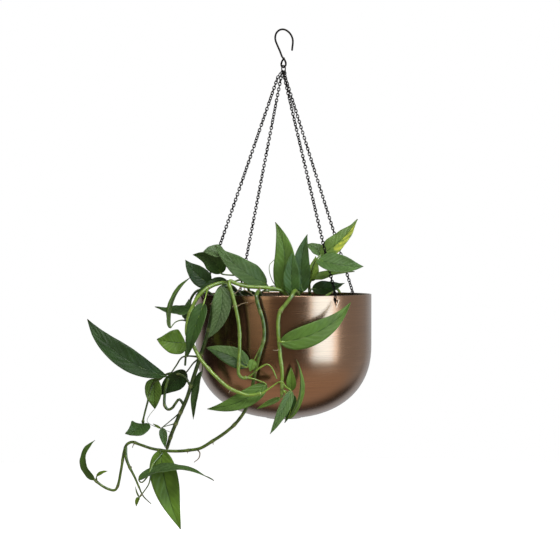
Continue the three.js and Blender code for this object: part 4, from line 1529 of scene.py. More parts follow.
# Heights that a stem passes from its foot in the potting mix up to the bowl's rim
UNDERGROUND = (-374, -361, -348, -341)


class Growth(Enum):
    """What a branch is: a stem with joints, a thin smooth tendril, or an aerial root."""

    STEM = "stem"
    TENDRIL = "tendril"
    ROOT = "root"


@dataclass(frozen=True)
class Branch:
    """A side stem, tendril or root: its radius at each end, and its way."""

    radius: Sequence[float]
    path: Sequence[Point]
    growth: Growth = Growth.STEM


@dataclass
class Cane:
    """A stem, tendril or root while it becomes a tube.

    Attributes:
        path: Its way.
        radius: Its radius at each end.
        light: How light it is at each end.
        growth: What it is.
        joints: How far along it each joint lies.
    """

    path: SmoothPath
    radius: Sequence[float]
    light: Sequence[float]
    growth: Growth
    joints: list[float] = field(default_factory=list)

    def fill_joints(self, draw: random.Random) -> None:
        """Adds joints where a stem runs far without a leaf.

        Args:
            draw: The source of all chance.
        """
        if self.growth is not Growth.STEM:
            return
        known = sorted([0.0, *self.joints, self.path.length])
        for here, there in zip(known, known[1:]):
            extra = int((there - here) / draw.uniform(36, 44))
            for step in range(extra):
                self.joints.append(here + (there - here) * (step + 1) / (extra + 1))

    def joint_at(self, distance: float, reach: float) -> float:
        """1 at a joint, falling to 0 within a few times the reach."""
        gap = min((abs(joint - distance) for joint in self.joints), default=100.0)
        return math.exp(-(gap / reach) ** 2)

    def radius_at(self, distance: float) -> float:
        """The radius at a distance along it.

        Args:
            distance: How far along it.

        Returns:
            The radius, with its joints and small unevenness.
        """
        radius = blend(*self.radius, min(1.0, distance / self.path.length))
        uneven = 1 + 0.06 * noise.noise(self.path.at(distance) * 0.35)
        return radius * uneven * (1 + 0.2 * self.joint_at(distance, 2.4))

    def model(self, stems: Workpiece) -> None:
        """Adds the tube with a rounded end.

        Args:
            stems: The piece that holds the stems.
        """
        length = self.path.length
        tip = self.radius_at(length)
        distances = even_steps(length - tip, max(4, round((length - tip) / 1.8)))
        radii = [self.radius_at(distance) for distance in distances]
        for inset in (0.6, 0.25, 0.03):
            distances.append(length - tip * inset)
            radii.append(tip * math.sqrt(1 - (1 - inset) ** 2))
        sides = 10 if max(self.radius) > 1.2 else 7
        rings = stems.sweep(self.path.stations(distances, radii, Vector((0.3, 0.9, 0.3))), sides)
        root = 1.0 if self.growth is Growth.ROOT else 0.0
        for ring, distance in zip(rings, distances):
            light = blend(*self.light, distance / length)
            stems.mark(ring, light=light, joint=self.joint_at(distance, 2.6), root=root)

    def model_nubs(self, stems: Workpiece, draw: random.Random) -> None:
        """Adds a short aerial root at some joints.

        Args:
            stems: The piece that holds the stems.
            draw: The source of all chance.
        """
        for joint in self.joints:
            if draw.random() > 0.6 or not 25 < joint < self.path.length - 3:
                continue
            tangent = self.path.tangent(joint)
            level = Matrix.Rotation(draw.uniform(-1.3, 1.3), 3, tangent)
            out = level @ square_to(Vector((0, -1, -0.5)), tangent)
            start = self.path.at(joint) + out * self.radius_at(joint) * 0.5
            reach = draw.uniform(2.4, 4.6)
            ways = [start, start + out * reach * 0.6, start + out * reach * 0.9 - UP * reach * 0.45]
            Cane(SmoothPath(ways), (0.62, 0.3), self.light, Growth.ROOT).model(stems)


@dataclass(frozen=True)
class Vine:
    """One vine or shoot: its stem from the soil on, with its side stems, roots and leaves.

    Attributes:
        name: The name of the piece in the solids.
        radius: The stem's radius at each end.
        light: How light the stem is at each end.
        root: Where it stands in the soil.
        path: Its way above the soil.
        leaves: Its leaves.
        branches: Its side stems, tendrils and roots.
        pale: Whether its stem is a pale one.
    """

    name: str
    radius: Sequence[float]
    light: Sequence[float]
    root: Sequence[float]
    path: Sequence[Point]
    leaves: Sequence[Leaf]
    branches: Sequence[Branch] = ()
    pale: bool = False

    def canes(self) -> list[Cane]:
        """The stem and its branches, each branch begun on the stem that it leaves.

        Returns:
            The main stem first.
        """
        buried = [(*self.root, height) for height in UNDERGROUND]
        canes = [Cane(SmoothPath([*buried, *self.path]), self.radius, self.light, Growth.STEM)]
        for branch in self.branches:
            cane, walked = self.nearest(canes, branch.path[0])
            light = blend(*self.light, walked / cane.path.length)
            path = SmoothPath([cane.path.at(walked), *branch.path[1:]])
            canes.append(Cane(path, branch.radius, (light, light + 0.1), branch.growth))
        return canes

    @staticmethod
    def nearest(canes: Iterable[Cane], place: Point) -> tuple[Cane, float]:
        """The cane that passes nearest a place, and how far along it that is.

        Args:
            canes: The canes.
            place: The place.

        Returns:
            The cane and the distance.
        """
        found = [(*cane.path.nearest(Vector(place)), cane) for cane in canes]
        _, walked, cane = min(found, key=lambda item: item[0])
        return cane, walked

    def build(self, upper: Material, under: Material, stem: Material) -> None:
        """Models the stems and the leaves as two pieces.

        Args:
            upper: The finish of the blades' upper faces.
            under: The finish of their undersides.
            stem: The finish of stems and stalks.
        """
        draw = random.Random(self.name)
        stems = Workpiece(("light", "joint", "root"))
        blades = Workpiece(("bright", "silver", "yellow"))
        canes = self.canes()
        for leaf in self.leaves:
            cane, walked = self.nearest(canes, leaf.stalk[0])
            cane.joints.append(walked)
            light = blend(*cane.light, walked / cane.path.length)
            leaf.model_stalk(stems, cane.path.at(walked), light)
            leaf.model_blade(blades, draw)
        for cane in canes:
            cane.fill_joints(draw)
            cane.model(stems)
            cane.model_nubs(stems, draw)
        slot = "pale_vine" if self.pale else "leaf"
        stems.install(f"{self.name}_stems", [stem], Placing(PLANTER, slot, (self.name,)),
                      crease=75.0)
        foliage = blades.install(f"{self.name}_leaves", [upper, under],
                                 Placing(PLANTER, "leaf", (self.name,)), crease=180.0,
                                 recalculate=False)
        body = foliage.modifiers.new("body", "SOLIDIFY")
        body.thickness = BLADE.thickness * MM
        body.offset = 0.0
        body.material_offset = 1
        body.material_offset_rim = 1


VINES: tuple[Vine, ...] = (
    Vine(
        name="vine_left_main", radius=[2.8, 2.2], light=[0.12, 0.15], root=[-40, -40],
        path=[[-50, -60, -334], [-64, -80, -319], [-75, -91, -321], [-82, -97, -336],
              [-86, -96, -356.5], [-91.5, -93, -379], [-99.5, -88, -403], [-108, -84, -428.5],
              [-116, -79, -453], [-126.5, -72, -476.5], [-135.5, -65, -498], [-142.5, -52, -518]],
        branches=[
            # Thread beside the side stem
            Branch([0.35, 0.3], [[-170, -67, -484], [-165, -65, -483], [-162, -64, -475],
                   [-156.5, -64, -468.3]], Growth.TENDRIL),
            # Young shoot that loops under and comes up to the long leaf on the left
            Branch([1.6, 1.9], [[-121, -76, -460.5], [-125.5, -76, -455], [-130, -76, -460],
                   [-134, -75, -465.5], [-139, -74, -467.5], [-143, -74, -463],
                   [-143.5, -73, -453.5], [-142, -73, -441.5], [-138.5, -73, -428.5]]),
            # Side stem that carries the two leaves of the lower left
            Branch([1.5, 1.1], [[-113.5, -79, -438.5], [-118.5, -77, -428], [-127, -74, -424.5],
                   [-139, -72, -424.5], [-149, -70, -431], [-157.5, -68, -437], [-161, -69, -445.5],
                   [-164, -69, -458.5], [-168, -68, -473.5], [-170.5, -67, -484.5]]),
        ],
        leaves=[
            Leaf([[-68, -85, -318], [-71, -93, -316]], [-74, -99, -320], [-90, -103, -380.5], 23,
                 Tone.TWO_TONE, [-0.1, -0.95, 0.3], sweep=-0.13, fold=8, twist=15),
            Leaf([[-100, -88, -405], [-108, -78, -411]], [-117.5, -68, -423], [-149.5, -64, -451],
                 26, Tone.DARK, [0.2, -0.9, -0.4], sweep=0.07, twist=32),
            Leaf([[-99, -88, -400], [-97, -82, -411]], [-98, -77, -421.5], [-109, -74, -479.5], 15,
                 Tone.GREY, [-0.75, -0.65, 0.1], sweep=-0.04, fold=30, twist=-30),
            Leaf([[-149, -70, -431]], [-156, -67, -431], [-156, -64, -468], 23, Tone.FRESH,
                 [-0.2, -1, 0.1], fold=24, twist=-26),
            Leaf([[-170, -67, -482]], [-170, -66, -485.5], [-189.5, -86, -495], 26, Tone.DEEP,
                 [0.2, -0.5, 0.85], sweep=-0.16, twist=-50),
            Leaf([[-99.5, -88, -403], [-120.5, -84, -403.5], [-129, -79, -414.5],
                 [-135.5, -75, -423.5]], [-140.5, -72, -428], [-237, -66, -359], 30, Tone.DARK,
                 [0.2, -0.84, 0.46], belly=0.44, sweep=-0.13, arch=0.04),
            Leaf([[-124, -74, -471], [-137, -69, -482]], [-147, -66, -491], [-143, -69, -514], 10,
                 Tone.GREY, [0.2, -1, 0]),
            Leaf([[-137, -69, -482], [-146, -66.5, -489.5]], [-149, -66, -491], [-158, -66, -485.5],
                 3, Tone.YOUNG, [0, -1, 0.2]),
        ],
    ),
    Vine(
        name="vine_arch_left", pale=True, radius=[2.4, 2.0], light=[0.75, 0.7], root=[-52, -48],
        path=[[-60, -60, -332], [-69.5, -74, -315.5], [-83.5, -82, -317.5], [-94, -88, -323.5],
              [-102, -91, -331.5], [-108.5, -92, -343.5], [-113.5, -93, -356.5],
              [-115, -95, -375.5], [-108.5, -97, -387], [-99, -103, -404], [-89, -108, -415.5],
              [-78.5, -113, -426], [-65, -119, -437], [-53.5, -123, -442], [-41.5, -125, -445.5],
              [-25.5, -126, -443.5]],
        leaves=[
            Leaf([[-90, -86, -321], [-92, -97, -329]], [-94.5, -104, -339], [-113.5, -110, -402],
                 21, Tone.DEEP, [-0.25, -0.95, 0.2], fold=20),
            Leaf([[-25.5, -126, -443.5], [-16, -125.5, -437], [-3, -125, -429.5],
                 [3, -125.5, -436]], [9, -126, -440.5], [-16, -130, -490.5], 14, Tone.SILVER,
                 [0.3, -0.95, 0.1]),
        ],
    ),
    Vine(
        name="vine_left_side", radius=[1.9, 1.3], light=[0.25, 0.3], root=[-70, -22],
        path=[[-84, -29, -333], [-96, -35, -325.5], [-105, -40, -325], [-113, -46, -335],
              [-115.5, -51, -357], [-117.5, -54, -378], [-118.5, -58, -400], [-119.5, -60, -416]],
        leaves=[
            Leaf([[-116, -52, -362], [-124, -62, -360.5], [-131, -70, -363]], [-136.5, -74, -369.5],
                 [-112, -66, -308], 16, Tone.PLAIN, [-0.97, -0.18, -0.17], arch=0.13, fold=32,
                 twist=40),
            Leaf([[-114, -47, -342]], [-109, -56, -347], [-155.5, -65, -344], 22, Tone.DEEP,
                 [0.17, -0.48, 0.86], arch=-0.12, twist=10),
            Leaf([[-116, -51, -364]], [-121, -48, -359], [-115.5, -50, -335], 11, Tone.FROSTED,
                 [0, -1, 0.2], sweep=0.04),
            Leaf([[-117, -54, -378], [-116, -60, -385]], [-119, -65, -387.5], [-152.5, -74, -383],
                 32, Tone.BRIGHT, [-0.1, -0.9, 0.4], sweep=-0.06, fold=8, twist=-30),
        ],
    ),
    Vine(
        name="shoot_upper_left", radius=[2.0, 1.3], light=[0.35, 0.4], root=[-35, -20],
        path=[[-40, -32, -330], [-48, -44, -314], [-56, -54, -302]],
        leaves=[
            Leaf([[-38, -28, -336], [-26, -52, -326], [-19, -68, -321]], [-20.5, -75, -317],
                 [-82, -76, -271], 30, Tone.GREY, [0.15, -0.85, 0.5], sweep=-0.09, twist=-11),
            Leaf([[-56, -54, -302], [-60, -62, -294]], [-69.5, -68, -284], [-96.5, -72, -277.5], 24,
                 Tone.FROSTED, [0, -0.55, 0.84], arch=0.09, sweep=0.04, twist=-55),
            Leaf([[-54, -52, -305], [-63, -57, -306]], [-76, -60, -304], [-110, -63, -281.5], 24,
                 Tone.DEEP, [0.1, -0.95, -0.3], sweep=0.2, twist=-40),
            Leaf([[-50, -46, -311], [-70, -58, -316]], [-89, -64, -317], [-119, -60, -287.5], 24,
                 Tone.DARK, [0.1, -0.97, 0.2], sweep=-0.07, twist=30),
            Leaf([[-46, -42, -317], [-58, -55, -315]], [-68.5, -60, -312.5], [-107.5, -74, -334],
                 15, Tone.DARK, [0.15, -0.57, 0.81], arch=0.14, twist=13),
        ],
    ),
    Vine(
        name="vine_rim_drop", pale=True, radius=[2.3, 2.0], light=[0.6, 0.6], root=[18, -60],
        path=[[10, -78, -338], [-1, -90, -325], [-16.5, -96, -321], [-30.5, -98, -320],
              [-44.5, -99, -319], [-56.5, -100, -315.5], [-64, -101.5, -312.5], [-64, -104.5, -317],
              [-60.5, -108, -328], [-57.5, -111, -339.5], [-54, -112, -356], [-52, -112, -372],
              [-52, -112.5, -393.5], [-53, -113, -412], [-53, -113.5, -421.5], [-49, -114, -426],
              [-42, -114, -425.5]],
        branches=[
            # Roots where the vine lies over the rim
            Branch([0.6, 0.35], [[-44.5, -99, -319], [-47, -101, -322], [-40, -106, -326],
                   [-35, -109, -330]], Growth.ROOT),
            # Root beside them, to the left
            Branch([0.6, 0.35], [[-50, -100, -318], [-55, -103, -325], [-58.8, -105, -328]],
                   Growth.ROOT),
            # Root beside them, to the right
            Branch([0.6, 0.35], [[-27, -99, -320], [-29, -104, -323], [-33, -112, -330]],
                   Growth.ROOT),
            # Thin tendril that rises from the curl and falls again
            Branch([1.2, 0.7], [[-42, -114, -425.5], [-33.5, -115, -418.5], [-25.5, -116, -412.5],
                   [-19, -117, -410], [-14, -118, -414], [-8, -119, -427]], Growth.TENDRIL),
            # Aerial root at the first node below the rim
            Branch([0.8, 0.5], [[-56, -111, -343], [-49, -113, -339], [-42, -114, -337.5]],
                   Growth.ROOT),
        ],
        leaves=[
            Leaf([[-53, -113, -410], [-44, -110, -414]], [-42, -105, -412], [-92, -99, -391.5], 24,
                 Tone.SHADED, [0.07, -0.96, 0.27], arch=0.05, sweep=0.03),
            Leaf([[-43, -114, -425.7], [-30, -115, -429]], [-20.5, -113, -434], [-90, -111, -463],
                 21, Tone.PLAIN, [0, -0.96, 0.29], sweep=-0.1, fold=8, twist=-17),
        ],
    ),
    Vine(
        name="vine_long_trail", radius=[2.4, 1.6], light=[0.3, 0.4], root=[-26, -66],
        path=[[-27, -78, -337], [-28.5, -92, -327], [-30.5, -104, -325], [-32, -112.5, -331],
              [-29, -114.5, -344], [-25, -115.5, -355.5], [-23, -116, -367.5], [-23, -116, -379],
              [-26, -116, -391], [-29, -116, -401.5], [-32, -113, -413], [-35, -109, -426.5],
              [-38, -107, -443], [-42, -104.5, -457.5], [-48, -102, -469.5], [-57.5, -98, -482],
              [-70, -91, -493.5], [-85.5, -84, -504.5], [-100.5, -76, -514], [-113, -70, -517],
              [-127.5, -64, -519], [-144, -60, -519], [-160, -56, -517], [-174.5, -54, -512.5],
              [-185, -52, -509.5], [-191.5, -51, -513], [-194.5, -50, -520.5],
              [-198.5, -48, -543.5], [-203.5, -46, -565.5], [-207, -45, -569.5],
              [-213.5, -44.5, -568.5], [-221, -44, -565], [-231.5, -43, -557.5]],
        branches=[
            # Small hooked root in the middle of the trail
            Branch([0.7, 0.4], [[-181, -53, -510.5], [-183, -56, -513], [-184, -57, -516]],
                   Growth.ROOT),
            # Aerial root under the trail
            Branch([0.9, 0.5], [[-105, -74, -515.5], [-101, -75, -519], [-102, -75, -526],
                   [-108, -76, -531]], Growth.ROOT),
            # New shoot from the highest node, thinning to a root
            Branch([2.3, 0.5], [[-192.5, -50.5, -515.5], [-192, -52, -528.5], [-188, -54, -539],
                   [-181.5, -56, -551], [-176, -58, -563], [-170.5, -60, -574],
                   [-160.5, -60, -584]]),
            # Stalk of the bud that hangs below the arched leaf
            Branch([1.1, 0.7], [[-143.5, -60, -519.5], [-151.5, -66, -526.5], [-158.5, -72, -535.5],
                   [-160, -75, -546], [-162, -76, -556.5], [-166.5, -74, -564],
                   [-173, -72, -572.5]], Growth.TENDRIL),
        ],
        leaves=[
            Leaf([[-23.5, -116, -383], [-29, -118, -393]], [-35, -118, -405], [-39, -120, -418.5],
                 11, Tone.FRESH, [0.2, -0.98, 0.1], sweep=0.06),
            Leaf([[-150, -58, -518.5]], [-149.5, -61, -518.5], [-124.5, -66, -613.5], 34,
                 Tone.BRIGHT, [0, -0.95, 0.3], sweep=0.04, twist=-40),
            Leaf([[-158.5, -72, -535.5], [-162, -77, -544.5], [-166, -78, -551], [-171, -78, -555]],
                 [-174.5, -76, -551], [-83.5, -82, -552], 24, Tone.GREY, [0.13, -0.33, 0.94],
                 arch=0.16, twist=-35),
            Leaf([[-231, -43, -558]], [-232, -43, -556.5], [-230.5, -50, -507.5], 18, Tone.PLAIN,
                 [-0.75, -0.6, 0.2], arch=0.16, sweep=-0.2, fold=20, twist=-20),
            Leaf([[-229, -43, -559]], [-229, -45, -552], [-215, -50, -545], 6, Tone.YOUNG,
                 [0.3, -0.6, 0.7]),
            Leaf([[-171, -73, -570]], [-174, -71, -574], [-178, -70, -585], 7, Tone.YOUNG,
                 [-0.6, -0.8, 0.2], fold=30),
            Leaf([[-171, -73, -570]], [-174, -71, -574], [-179, -72, -560.5], 2.4, Tone.YOUNG,
                 [-0.6, -0.8, 0.2]),
        ],
    ),
    Vine(
        name="vine_front_drop", pale=True, radius=[2.6, 2.0], light=[0.2, 0.85], root=[26, -66],
        path=[[21, -78, -338], [16, -94, -327], [12.5, -107, -324.4], [9.5, -115.5, -329.5],
              [3, -116.5, -338.5], [-4.5, -117, -348.5], [-6.5, -117, -358], [-6.5, -117.5, -372],
              [-5, -117.5, -388.5], [-4, -118, -402.5], [-2, -117.5, -416.5], [-2, -116, -430.5],
              [-2, -115, -440], [-2, -113.5, -449.5]],
        branches=[
            # Root at the second node
            Branch([0.8, 0.5], [[-5, -117.6, -392], [-9, -121, -393.5], [-13, -121, -393]],
                   Growth.ROOT),
        ],
        leaves=[
            Leaf([[-5.4, -117.5, -384]], [-3.5, -121, -383.5], [79.5, -104, -337.5], 27, Tone.PLAIN,
                 [0.05, -1, 0.15], sweep=0.12, fold=10, twist=-40),
            Leaf([[-2, -115, -438], [5, -118, -449], [8, -118, -462]], [5, -117, -474],
                 [15, -124, -403.5], 13, Tone.FRESH, [0.9, -0.42, -0.1], arch=0.14, fold=38),
            Leaf([[0, -115.5, -440]], [11, -117, -446], [1, -115, -479], 12, Tone.DEEP,
                 [0.5, -0.85, 0], fold=25),
            Leaf([[0, -116, -434]], [8.5, -116, -441], [8.5, -120, -413.5], 12, Tone.FRESH,
                 [0.1, -1, 0.2], twist=-25),
            Leaf([[-2, -114, -446]], [-4, -114, -450], [-32, -116, -462.5], 7, Tone.FRESH,
                 [0, -0.96, 0.29]),
        ],
    ),
    Vine(
        name="shoot_centre", radius=[2.2, 1.6], light=[0.45, 0.45], root=[-4, -45],
        path=[[0, -60, -336], [6, -76, -329]],
        branches=[
            # Thin bare shoot beside the tall leaf
            Branch([0.7, 0.35], [[-4, -70, -333], [-14.6, -84, -310], [-16.9, -86, -294],
                   [-10.8, -86, -287]], Growth.TENDRIL),
        ],
        leaves=[
            Leaf([[0, -62, -335], [-5, -76, -331]], [-4, -85, -325], [-10, -78, -242.5], 27,
                 Tone.PLAIN, [-0.15, -1, 0.1], sweep=0.11, twist=16),
            Leaf([[5, -74, -329.5], [9, -84, -331]], [10, -91, -328], [11, -90, -276.5], 21,
                 Tone.DEEP, [0.15, -1, 0.1], sweep=-0.04),
            Leaf([[6, -76, -329], [15, -78, -328]], [23, -81, -325.5], [28.5, -80, -257], 23,
                 Tone.DEEP, [0.25, -1, 0.05], sweep=-0.09, twist=-20),
        ],
    ),
    Vine(
        name="shoot_right", radius=[2.2, 1.4], light=[0.45, 0.5], root=[34, -36],
        path=[[32, -48, -330], [31, -56, -312], [33, -58, -298]],
        leaves=[
            Leaf([[33, -58, -298], [39, -52, -288]], [45, -46, -282], [90.5, -38, -237.5], 24,
                 Tone.MARBLED, [-0.2, -0.87, 0.46], sweep=0.1, twist=-35),
            Leaf([[33, -58, -298], [42, -50, -291]], [49, -42, -281], [28, -34, -268], 17,
                 Tone.SILVER, [0, -0.8, 0.6]),
            Leaf([[31, -56, -311], [34, -74, -300], [37, -87, -290]], [40.5, -92, -287],
                 [94.5, -98, -295], 29, Tone.GREY, [0, -0.76, 0.65], sweep=0.11, twist=28),
            Leaf([[31, -54, -316], [34, -60, -312]], [38.5, -66, -310], [85.5, -66, -301.5], 21,
                 Tone.FRESH, [0, -0.41, 0.91], sweep=0.08, twist=-40),
            Leaf([[31.5, -51, -323], [32, -64, -325]], [34.5, -71, -322], [73.5, -67, -315.5], 18,
                 Tone.DARK, [0.1, -0.91, 0.4], sweep=0.08, twist=-40),
            Leaf([[31.5, -52, -320]], [32, -61, -313], [39, -57, -283], 15, Tone.YOUNG,
                 [0.3, -0.9, -0.2]),
        ],
    ),
    Vine(
        name="shoot_back", radius=[2.0, 1.5], light=[0.5, 0.5], root=[4, 30],
        path=[[4, 42, -336], [3, 58, -327]],
        leaves=[
            Leaf([[4, 34, -343], [5, 34, -332]], [6, 36, -326], [7, 50, -272], 19, Tone.GREY,
                 [-0.1, 0.95, 0.3]),
            Leaf([[4, 38, -340], [14, 34, -334]], [20, 32, -328], [26, 44, -270], 17, Tone.PLAIN,
                 [0.2, 0.9, 0.3]),
            Leaf([[3, 56, -327.5], [-10, 84, -322], [-18, 106, -324]], [-20, 114, -330],
                 [-27, 122, -392], 27, Tone.SILVER, [-0.1, 1, 0.2]),
            Leaf([[3, 58, -327], [12, 84, -323], [18, 106, -324]], [20, 114, -329], [27, 121, -384],
                 25, Tone.DEEP, [0.1, 1, 0.2]),
            Leaf([[3, 57, -327], [-24, 62, -328]], [-34, 66, -332], [-62, 84, -337], 22, Tone.PLAIN,
                 [-0.2, 0.4, 0.9]),
        ],
    ),
    Vine(
        name="vine_back_left", radius=[2.3, 1.3], light=[0.45, 0.5], root=[-45, 40],
        path=[[-60, 62, -335], [-76, 86, -325.5], [-83, 92, -332], [-86, 93, -350], [-83, 94, -384],
              [-76, 95, -420], [-68, 96, -440], [-62, 97, -453]],
        leaves=[
            Leaf([[-85, 92.5, -342], [-82, 100, -341]], [-78, 105, -344], [-66, 117, -402], 26,
                 Tone.PLAIN, [0.1, 1, 0.2]),
            Leaf([[-84, 94, -375], [-90, 98, -372]], [-93, 101, -376], [-104, 106, -430], 24,
                 Tone.GREY, [-0.4, 0.9, 0.2]),
            Leaf([[-78, 95, -410], [-72, 101, -409]], [-67, 104, -413], [-50, 108, -466], 24,
                 Tone.SILVER, [0.2, 1, 0.1]),
            Leaf([[-76, 95, -420], [-81, 99, -424]], [-83, 101, -431], [-85, 104, -463], 15,
                 Tone.DEEP, [-0.3, 0.9, 0.2]),
            Leaf([[-62, 97, -452]], [-61, 98, -456], [-54, 100, -480], 12, Tone.FRESH,
                 [0.3, 0.95, 0.2]),
        ],
    ),
    Vine(
        name="vine_back_right", radius=[2.1, 1.3], light=[0.45, 0.5], root=[40, 44],
        path=[[54, 66, -336], [70, 91, -325.5], [75, 97, -332], [77, 99, -352], [72, 101, -388],
              [62, 101, -420], [50, 100, -446]],
        leaves=[
            Leaf([[76, 98, -342], [72, 105, -341]], [67, 109, -344], [53, 120, -398], 26,
                 Tone.SILVER, [0.1, 1, 0.2]),
            Leaf([[75, 100, -368], [79, 103, -366]], [82, 104, -370], [84, 107, -420], 21,
                 Tone.PLAIN, [0.4, 0.9, 0.2]),
            Leaf([[68, 101, -400], [62, 106, -400]], [58, 108, -404], [42, 112, -452], 22,
                 Tone.GREY, [-0.2, 1, 0.1]),
            Leaf([[50, 100, -445]], [48, 101, -450], [40, 103, -482], 15, Tone.FRESH,
                 [0.1, 1, 0.2]),
        ],
    ),
)


def set_up(name: str, data: ID, place: Point, aim: Vector) -> Object:
    """Puts a camera or a light into the scene.

    Args:
        name: Its name.
        data: The camera or light.
        place: Where it stands.
        aim: The direction that it looks or shines.

    Returns:
        Its object.
    """
    stood = bpy.data.objects.new(name, data)
    stood.location = place
    stood.rotation_euler = aim.to_track_quat("-Z", "Y").to_euler()
    bpy.context.scene.collection.objects.link(stood)
    return stood


def soft_light(name: str, size: Sequence[float], watts: float) -> Light:
    """A rectangular light.

    Args:
        name: Its name.
        size: Its width and height.
        watts: Its power.

    Returns:
        The light, not yet in the scene.
    """
    light = bpy.data.lights.new(name, "AREA")
    light.shape = "RECTANGLE"
    light.size, light.size_y = size
    light.energy = watts
    return light


@dataclass(frozen=True)
class Panel:
    """A soft light panel: where it stands about the bowl, its size and its power.

    A panel that only shows in the metal lights nothing else.
    """

    name: str
    azimuth: float
    distance: float
    width: float
    low: float
    high: float
    watts: float
    in_metal: bool = True
    on_leaves: bool = True
    tint: Colour = (1.0, 1.0, 1.0)

    def build(self) -> None:
        """Sets the panel upright, turned to the bowl's axis."""
        light = soft_light(self.name, (self.width, self.high - self.low), self.watts)
        light.color = self.tint
        away = azimuth_vector(self.azimuth)
        middle = away * self.distance + UP * (self.low + self.high) / 2
        panel = set_up(self.name, light, middle, -away)
        panel.visible_camera = False
        panel.visible_glossy = self.in_metal
        panel.visible_diffuse = self.on_leaves


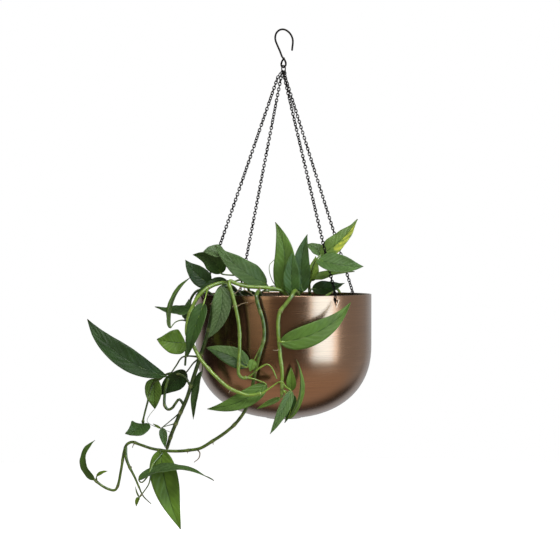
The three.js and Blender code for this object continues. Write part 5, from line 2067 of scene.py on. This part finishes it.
@dataclass(frozen=True)
class Studio:
    """The camera of the photograph, its soft lights and a plain pale stage."""

    camera_place: Point = (-0.0044, -1.8, -0.2876)
    camera_target: Point = (-0.0044, 0.0, -0.3127)
    lens: float = 92.35
    sensor: float = 36.0
    key_place: Point = (0.25, -0.85, 0.85)
    key_target: Point = (0.0, 0.0, -0.35)
    key_size: tuple[float, float] = (0.9, 0.7)
    key_watts: float = 20.0
    floor_height: float = -0.95
    floor_radius: float = 3.0
    backdrop: Colour = (1.0, 1.0, 1.0)
    surround: float = 0.54
    panels: tuple[Panel, ...] = (
        Panel("softbox_right", -38.0, 1.3, 0.93, -0.74, 0.60, 9.6),
        Panel("softbox_core", -39.5, 1.28, 0.64, -0.74, 0.30, 7.0, on_leaves=False,
              tint=(0.14, 0.57, 0.95)),
        Panel("softbox_left", -121.5, 1.8, 0.86, -0.38, 0.60, 3.3, tint=(1.0, 0.88, 0.62)),
        Panel("softbox_back", 75.0, 2.0, 1.6, -0.90, 0.70, 13.0, in_metal=False),
    )

    def set_camera(self) -> None:
        """Points a camera as in the photograph, everything in focus."""
        data = bpy.data.cameras.new("photo_camera")
        data.lens = self.lens
        data.sensor_width = self.sensor
        data.dof.use_dof = False
        view = Vector(self.camera_target) - Vector(self.camera_place)
        scene = bpy.context.scene
        scene.camera = set_up("photo_camera", data, self.camera_place, view)
        scene.view_settings.view_transform = "Standard"

    def set_key(self) -> None:
        """Hangs the large key light over the front."""
        light = soft_light("key_above", self.key_size, self.key_watts)
        aim = Vector(self.key_target) - Vector(self.key_place)
        set_up("key_above", light, self.key_place, aim).visible_camera = False

    def set_surround(self) -> None:
        """Fills the world: pale to the eye, and a room with a bright end in the metal."""
        world = bpy.data.worlds.new("studio_surround")
        world.use_nodes = True
        bpy.context.scene.world = world
        nodes = NodeKit(world.node_tree)
        direction = nodes.node("TexCoord").outputs["Generated"]
        right, back, up = nodes.node("SeparateXYZ", {0: direction}).outputs
        room = nodes.mix(nodes.rise(back, 0.62, 0.75), (0.020, 0.016, 0.013), (0.46, 0.46, 0.46))
        room = nodes.mix(nodes.rise(right, 0.58, 0.80), room, (0.45, 0.42, 0.39))
        room = nodes.mix(nodes.rise(back, -0.80, -0.93), room, (0.16, 0.12, 0.08))
        front = nodes.rise(back, 0.55, 0.1)
        glow = nodes.math("MULTIPLY", nodes.rise(up, -0.25, -0.6), front)
        room = nodes.mix(glow, room, (0.66, 0.49, 0.36))
        rays = nodes.node("LightPath")
        soft = (self.surround, self.surround, self.surround)
        seen = nodes.mix(rays.outputs["Is Glossy Ray"], soft, room)
        seen = nodes.mix(rays.outputs["Is Camera Ray"], seen, self.backdrop)
        nodes.feed(world.node_tree.nodes["Background"].inputs["Color"], seen)

    def set_stage(self) -> None:
        """Lays a plain pale disc well below the lowest leaf."""
        disc = Workpiece()
        bmesh.ops.create_circle(disc.mesh, cap_ends=True, segments=96, radius=self.floor_radius,
                                matrix=Matrix.Translation((0, 0, self.floor_height)))
        pale = Recipe("stage")
        pale.set(Base_Color=(0.80, 0.80, 0.80), Roughness=0.9, Emission_Color=(1.0, 1.0, 1.0),
                 Emission_Strength=0.62)
        stage = bpy.data.objects.new("stage", disc.as_mesh("stage"))
        stage.data.materials.append(pale.material)
        bpy.context.scene.collection.objects.link(stage)
        stage.visible_glossy = False
        stage.visible_diffuse = False

    def build(self) -> None:
        """Sets up the whole studio."""
        self.set_camera()
        self.set_key()
        for panel in self.panels:
            panel.build()
        self.set_surround()
        self.set_stage()


def main() -> None:
    """Builds the object in order, then the studio."""
    logging.basicConfig(level=logging.INFO, format="%(message)s")
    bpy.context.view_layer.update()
    steel = BlackWire().material()
    outside = BrushedBronze(
        Side.OUTSIDE, copper=(0.360, 0.205, 0.118), patina=(0.245, 0.140, 0.080),
        roughness=0.26, brushed=0.40,
    )
    inside = BrushedBronze(
        Side.INSIDE, copper=(0.200, 0.120, 0.075), patina=(0.110, 0.068, 0.042),
        roughness=0.42, brushed=0.30,
    )
    hanger, bowl = Hanger(), Bowl()
    hanger.build(steel)
    Chains(hanger, bowl).build(steel)
    holes = [corner.azimuth for corner in Corner]
    bowl.build(holes, outside.material(), inside.material())
    PottedSoil().build(
        PlantPotPlastic().material(),
        PottingSoil("potting_mix", (0.012, 0.008, 0.006), (0.060, 0.038, 0.024)).material(),
        PottingSoil("bark", (0.050, 0.026, 0.014), (0.130, 0.075, 0.040), 1400.0).material(),
        PottingSoil("perlite", (0.520, 0.500, 0.460), (0.740, 0.720, 0.690), 1800.0).material(),
    )
    upper = LeafSkin(
        BladeSide.UPPER, deep=(0.010, 0.030, 0.005), green=(0.050, 0.122, 0.013),
        fresh=(0.098, 0.205, 0.012), yellow=(0.500, 0.540, 0.040), silver=(0.160, 0.225, 0.110),
        midrib=(0.011, 0.028, 0.006), roughness=0.44,
    ).material()
    under = LeafSkin(
        BladeSide.UNDER, deep=(0.034, 0.066, 0.022), green=(0.075, 0.130, 0.040),
        fresh=(0.125, 0.205, 0.040), yellow=(0.440, 0.470, 0.090), silver=(0.180, 0.225, 0.140),
        midrib=(0.120, 0.180, 0.055), roughness=0.52,
    ).material()
    stem = StemSkin().material()
    for vine in VINES:
        vine.build(upper, under, stem)
    Studio().build()


if __name__ == "__main__":
    main()
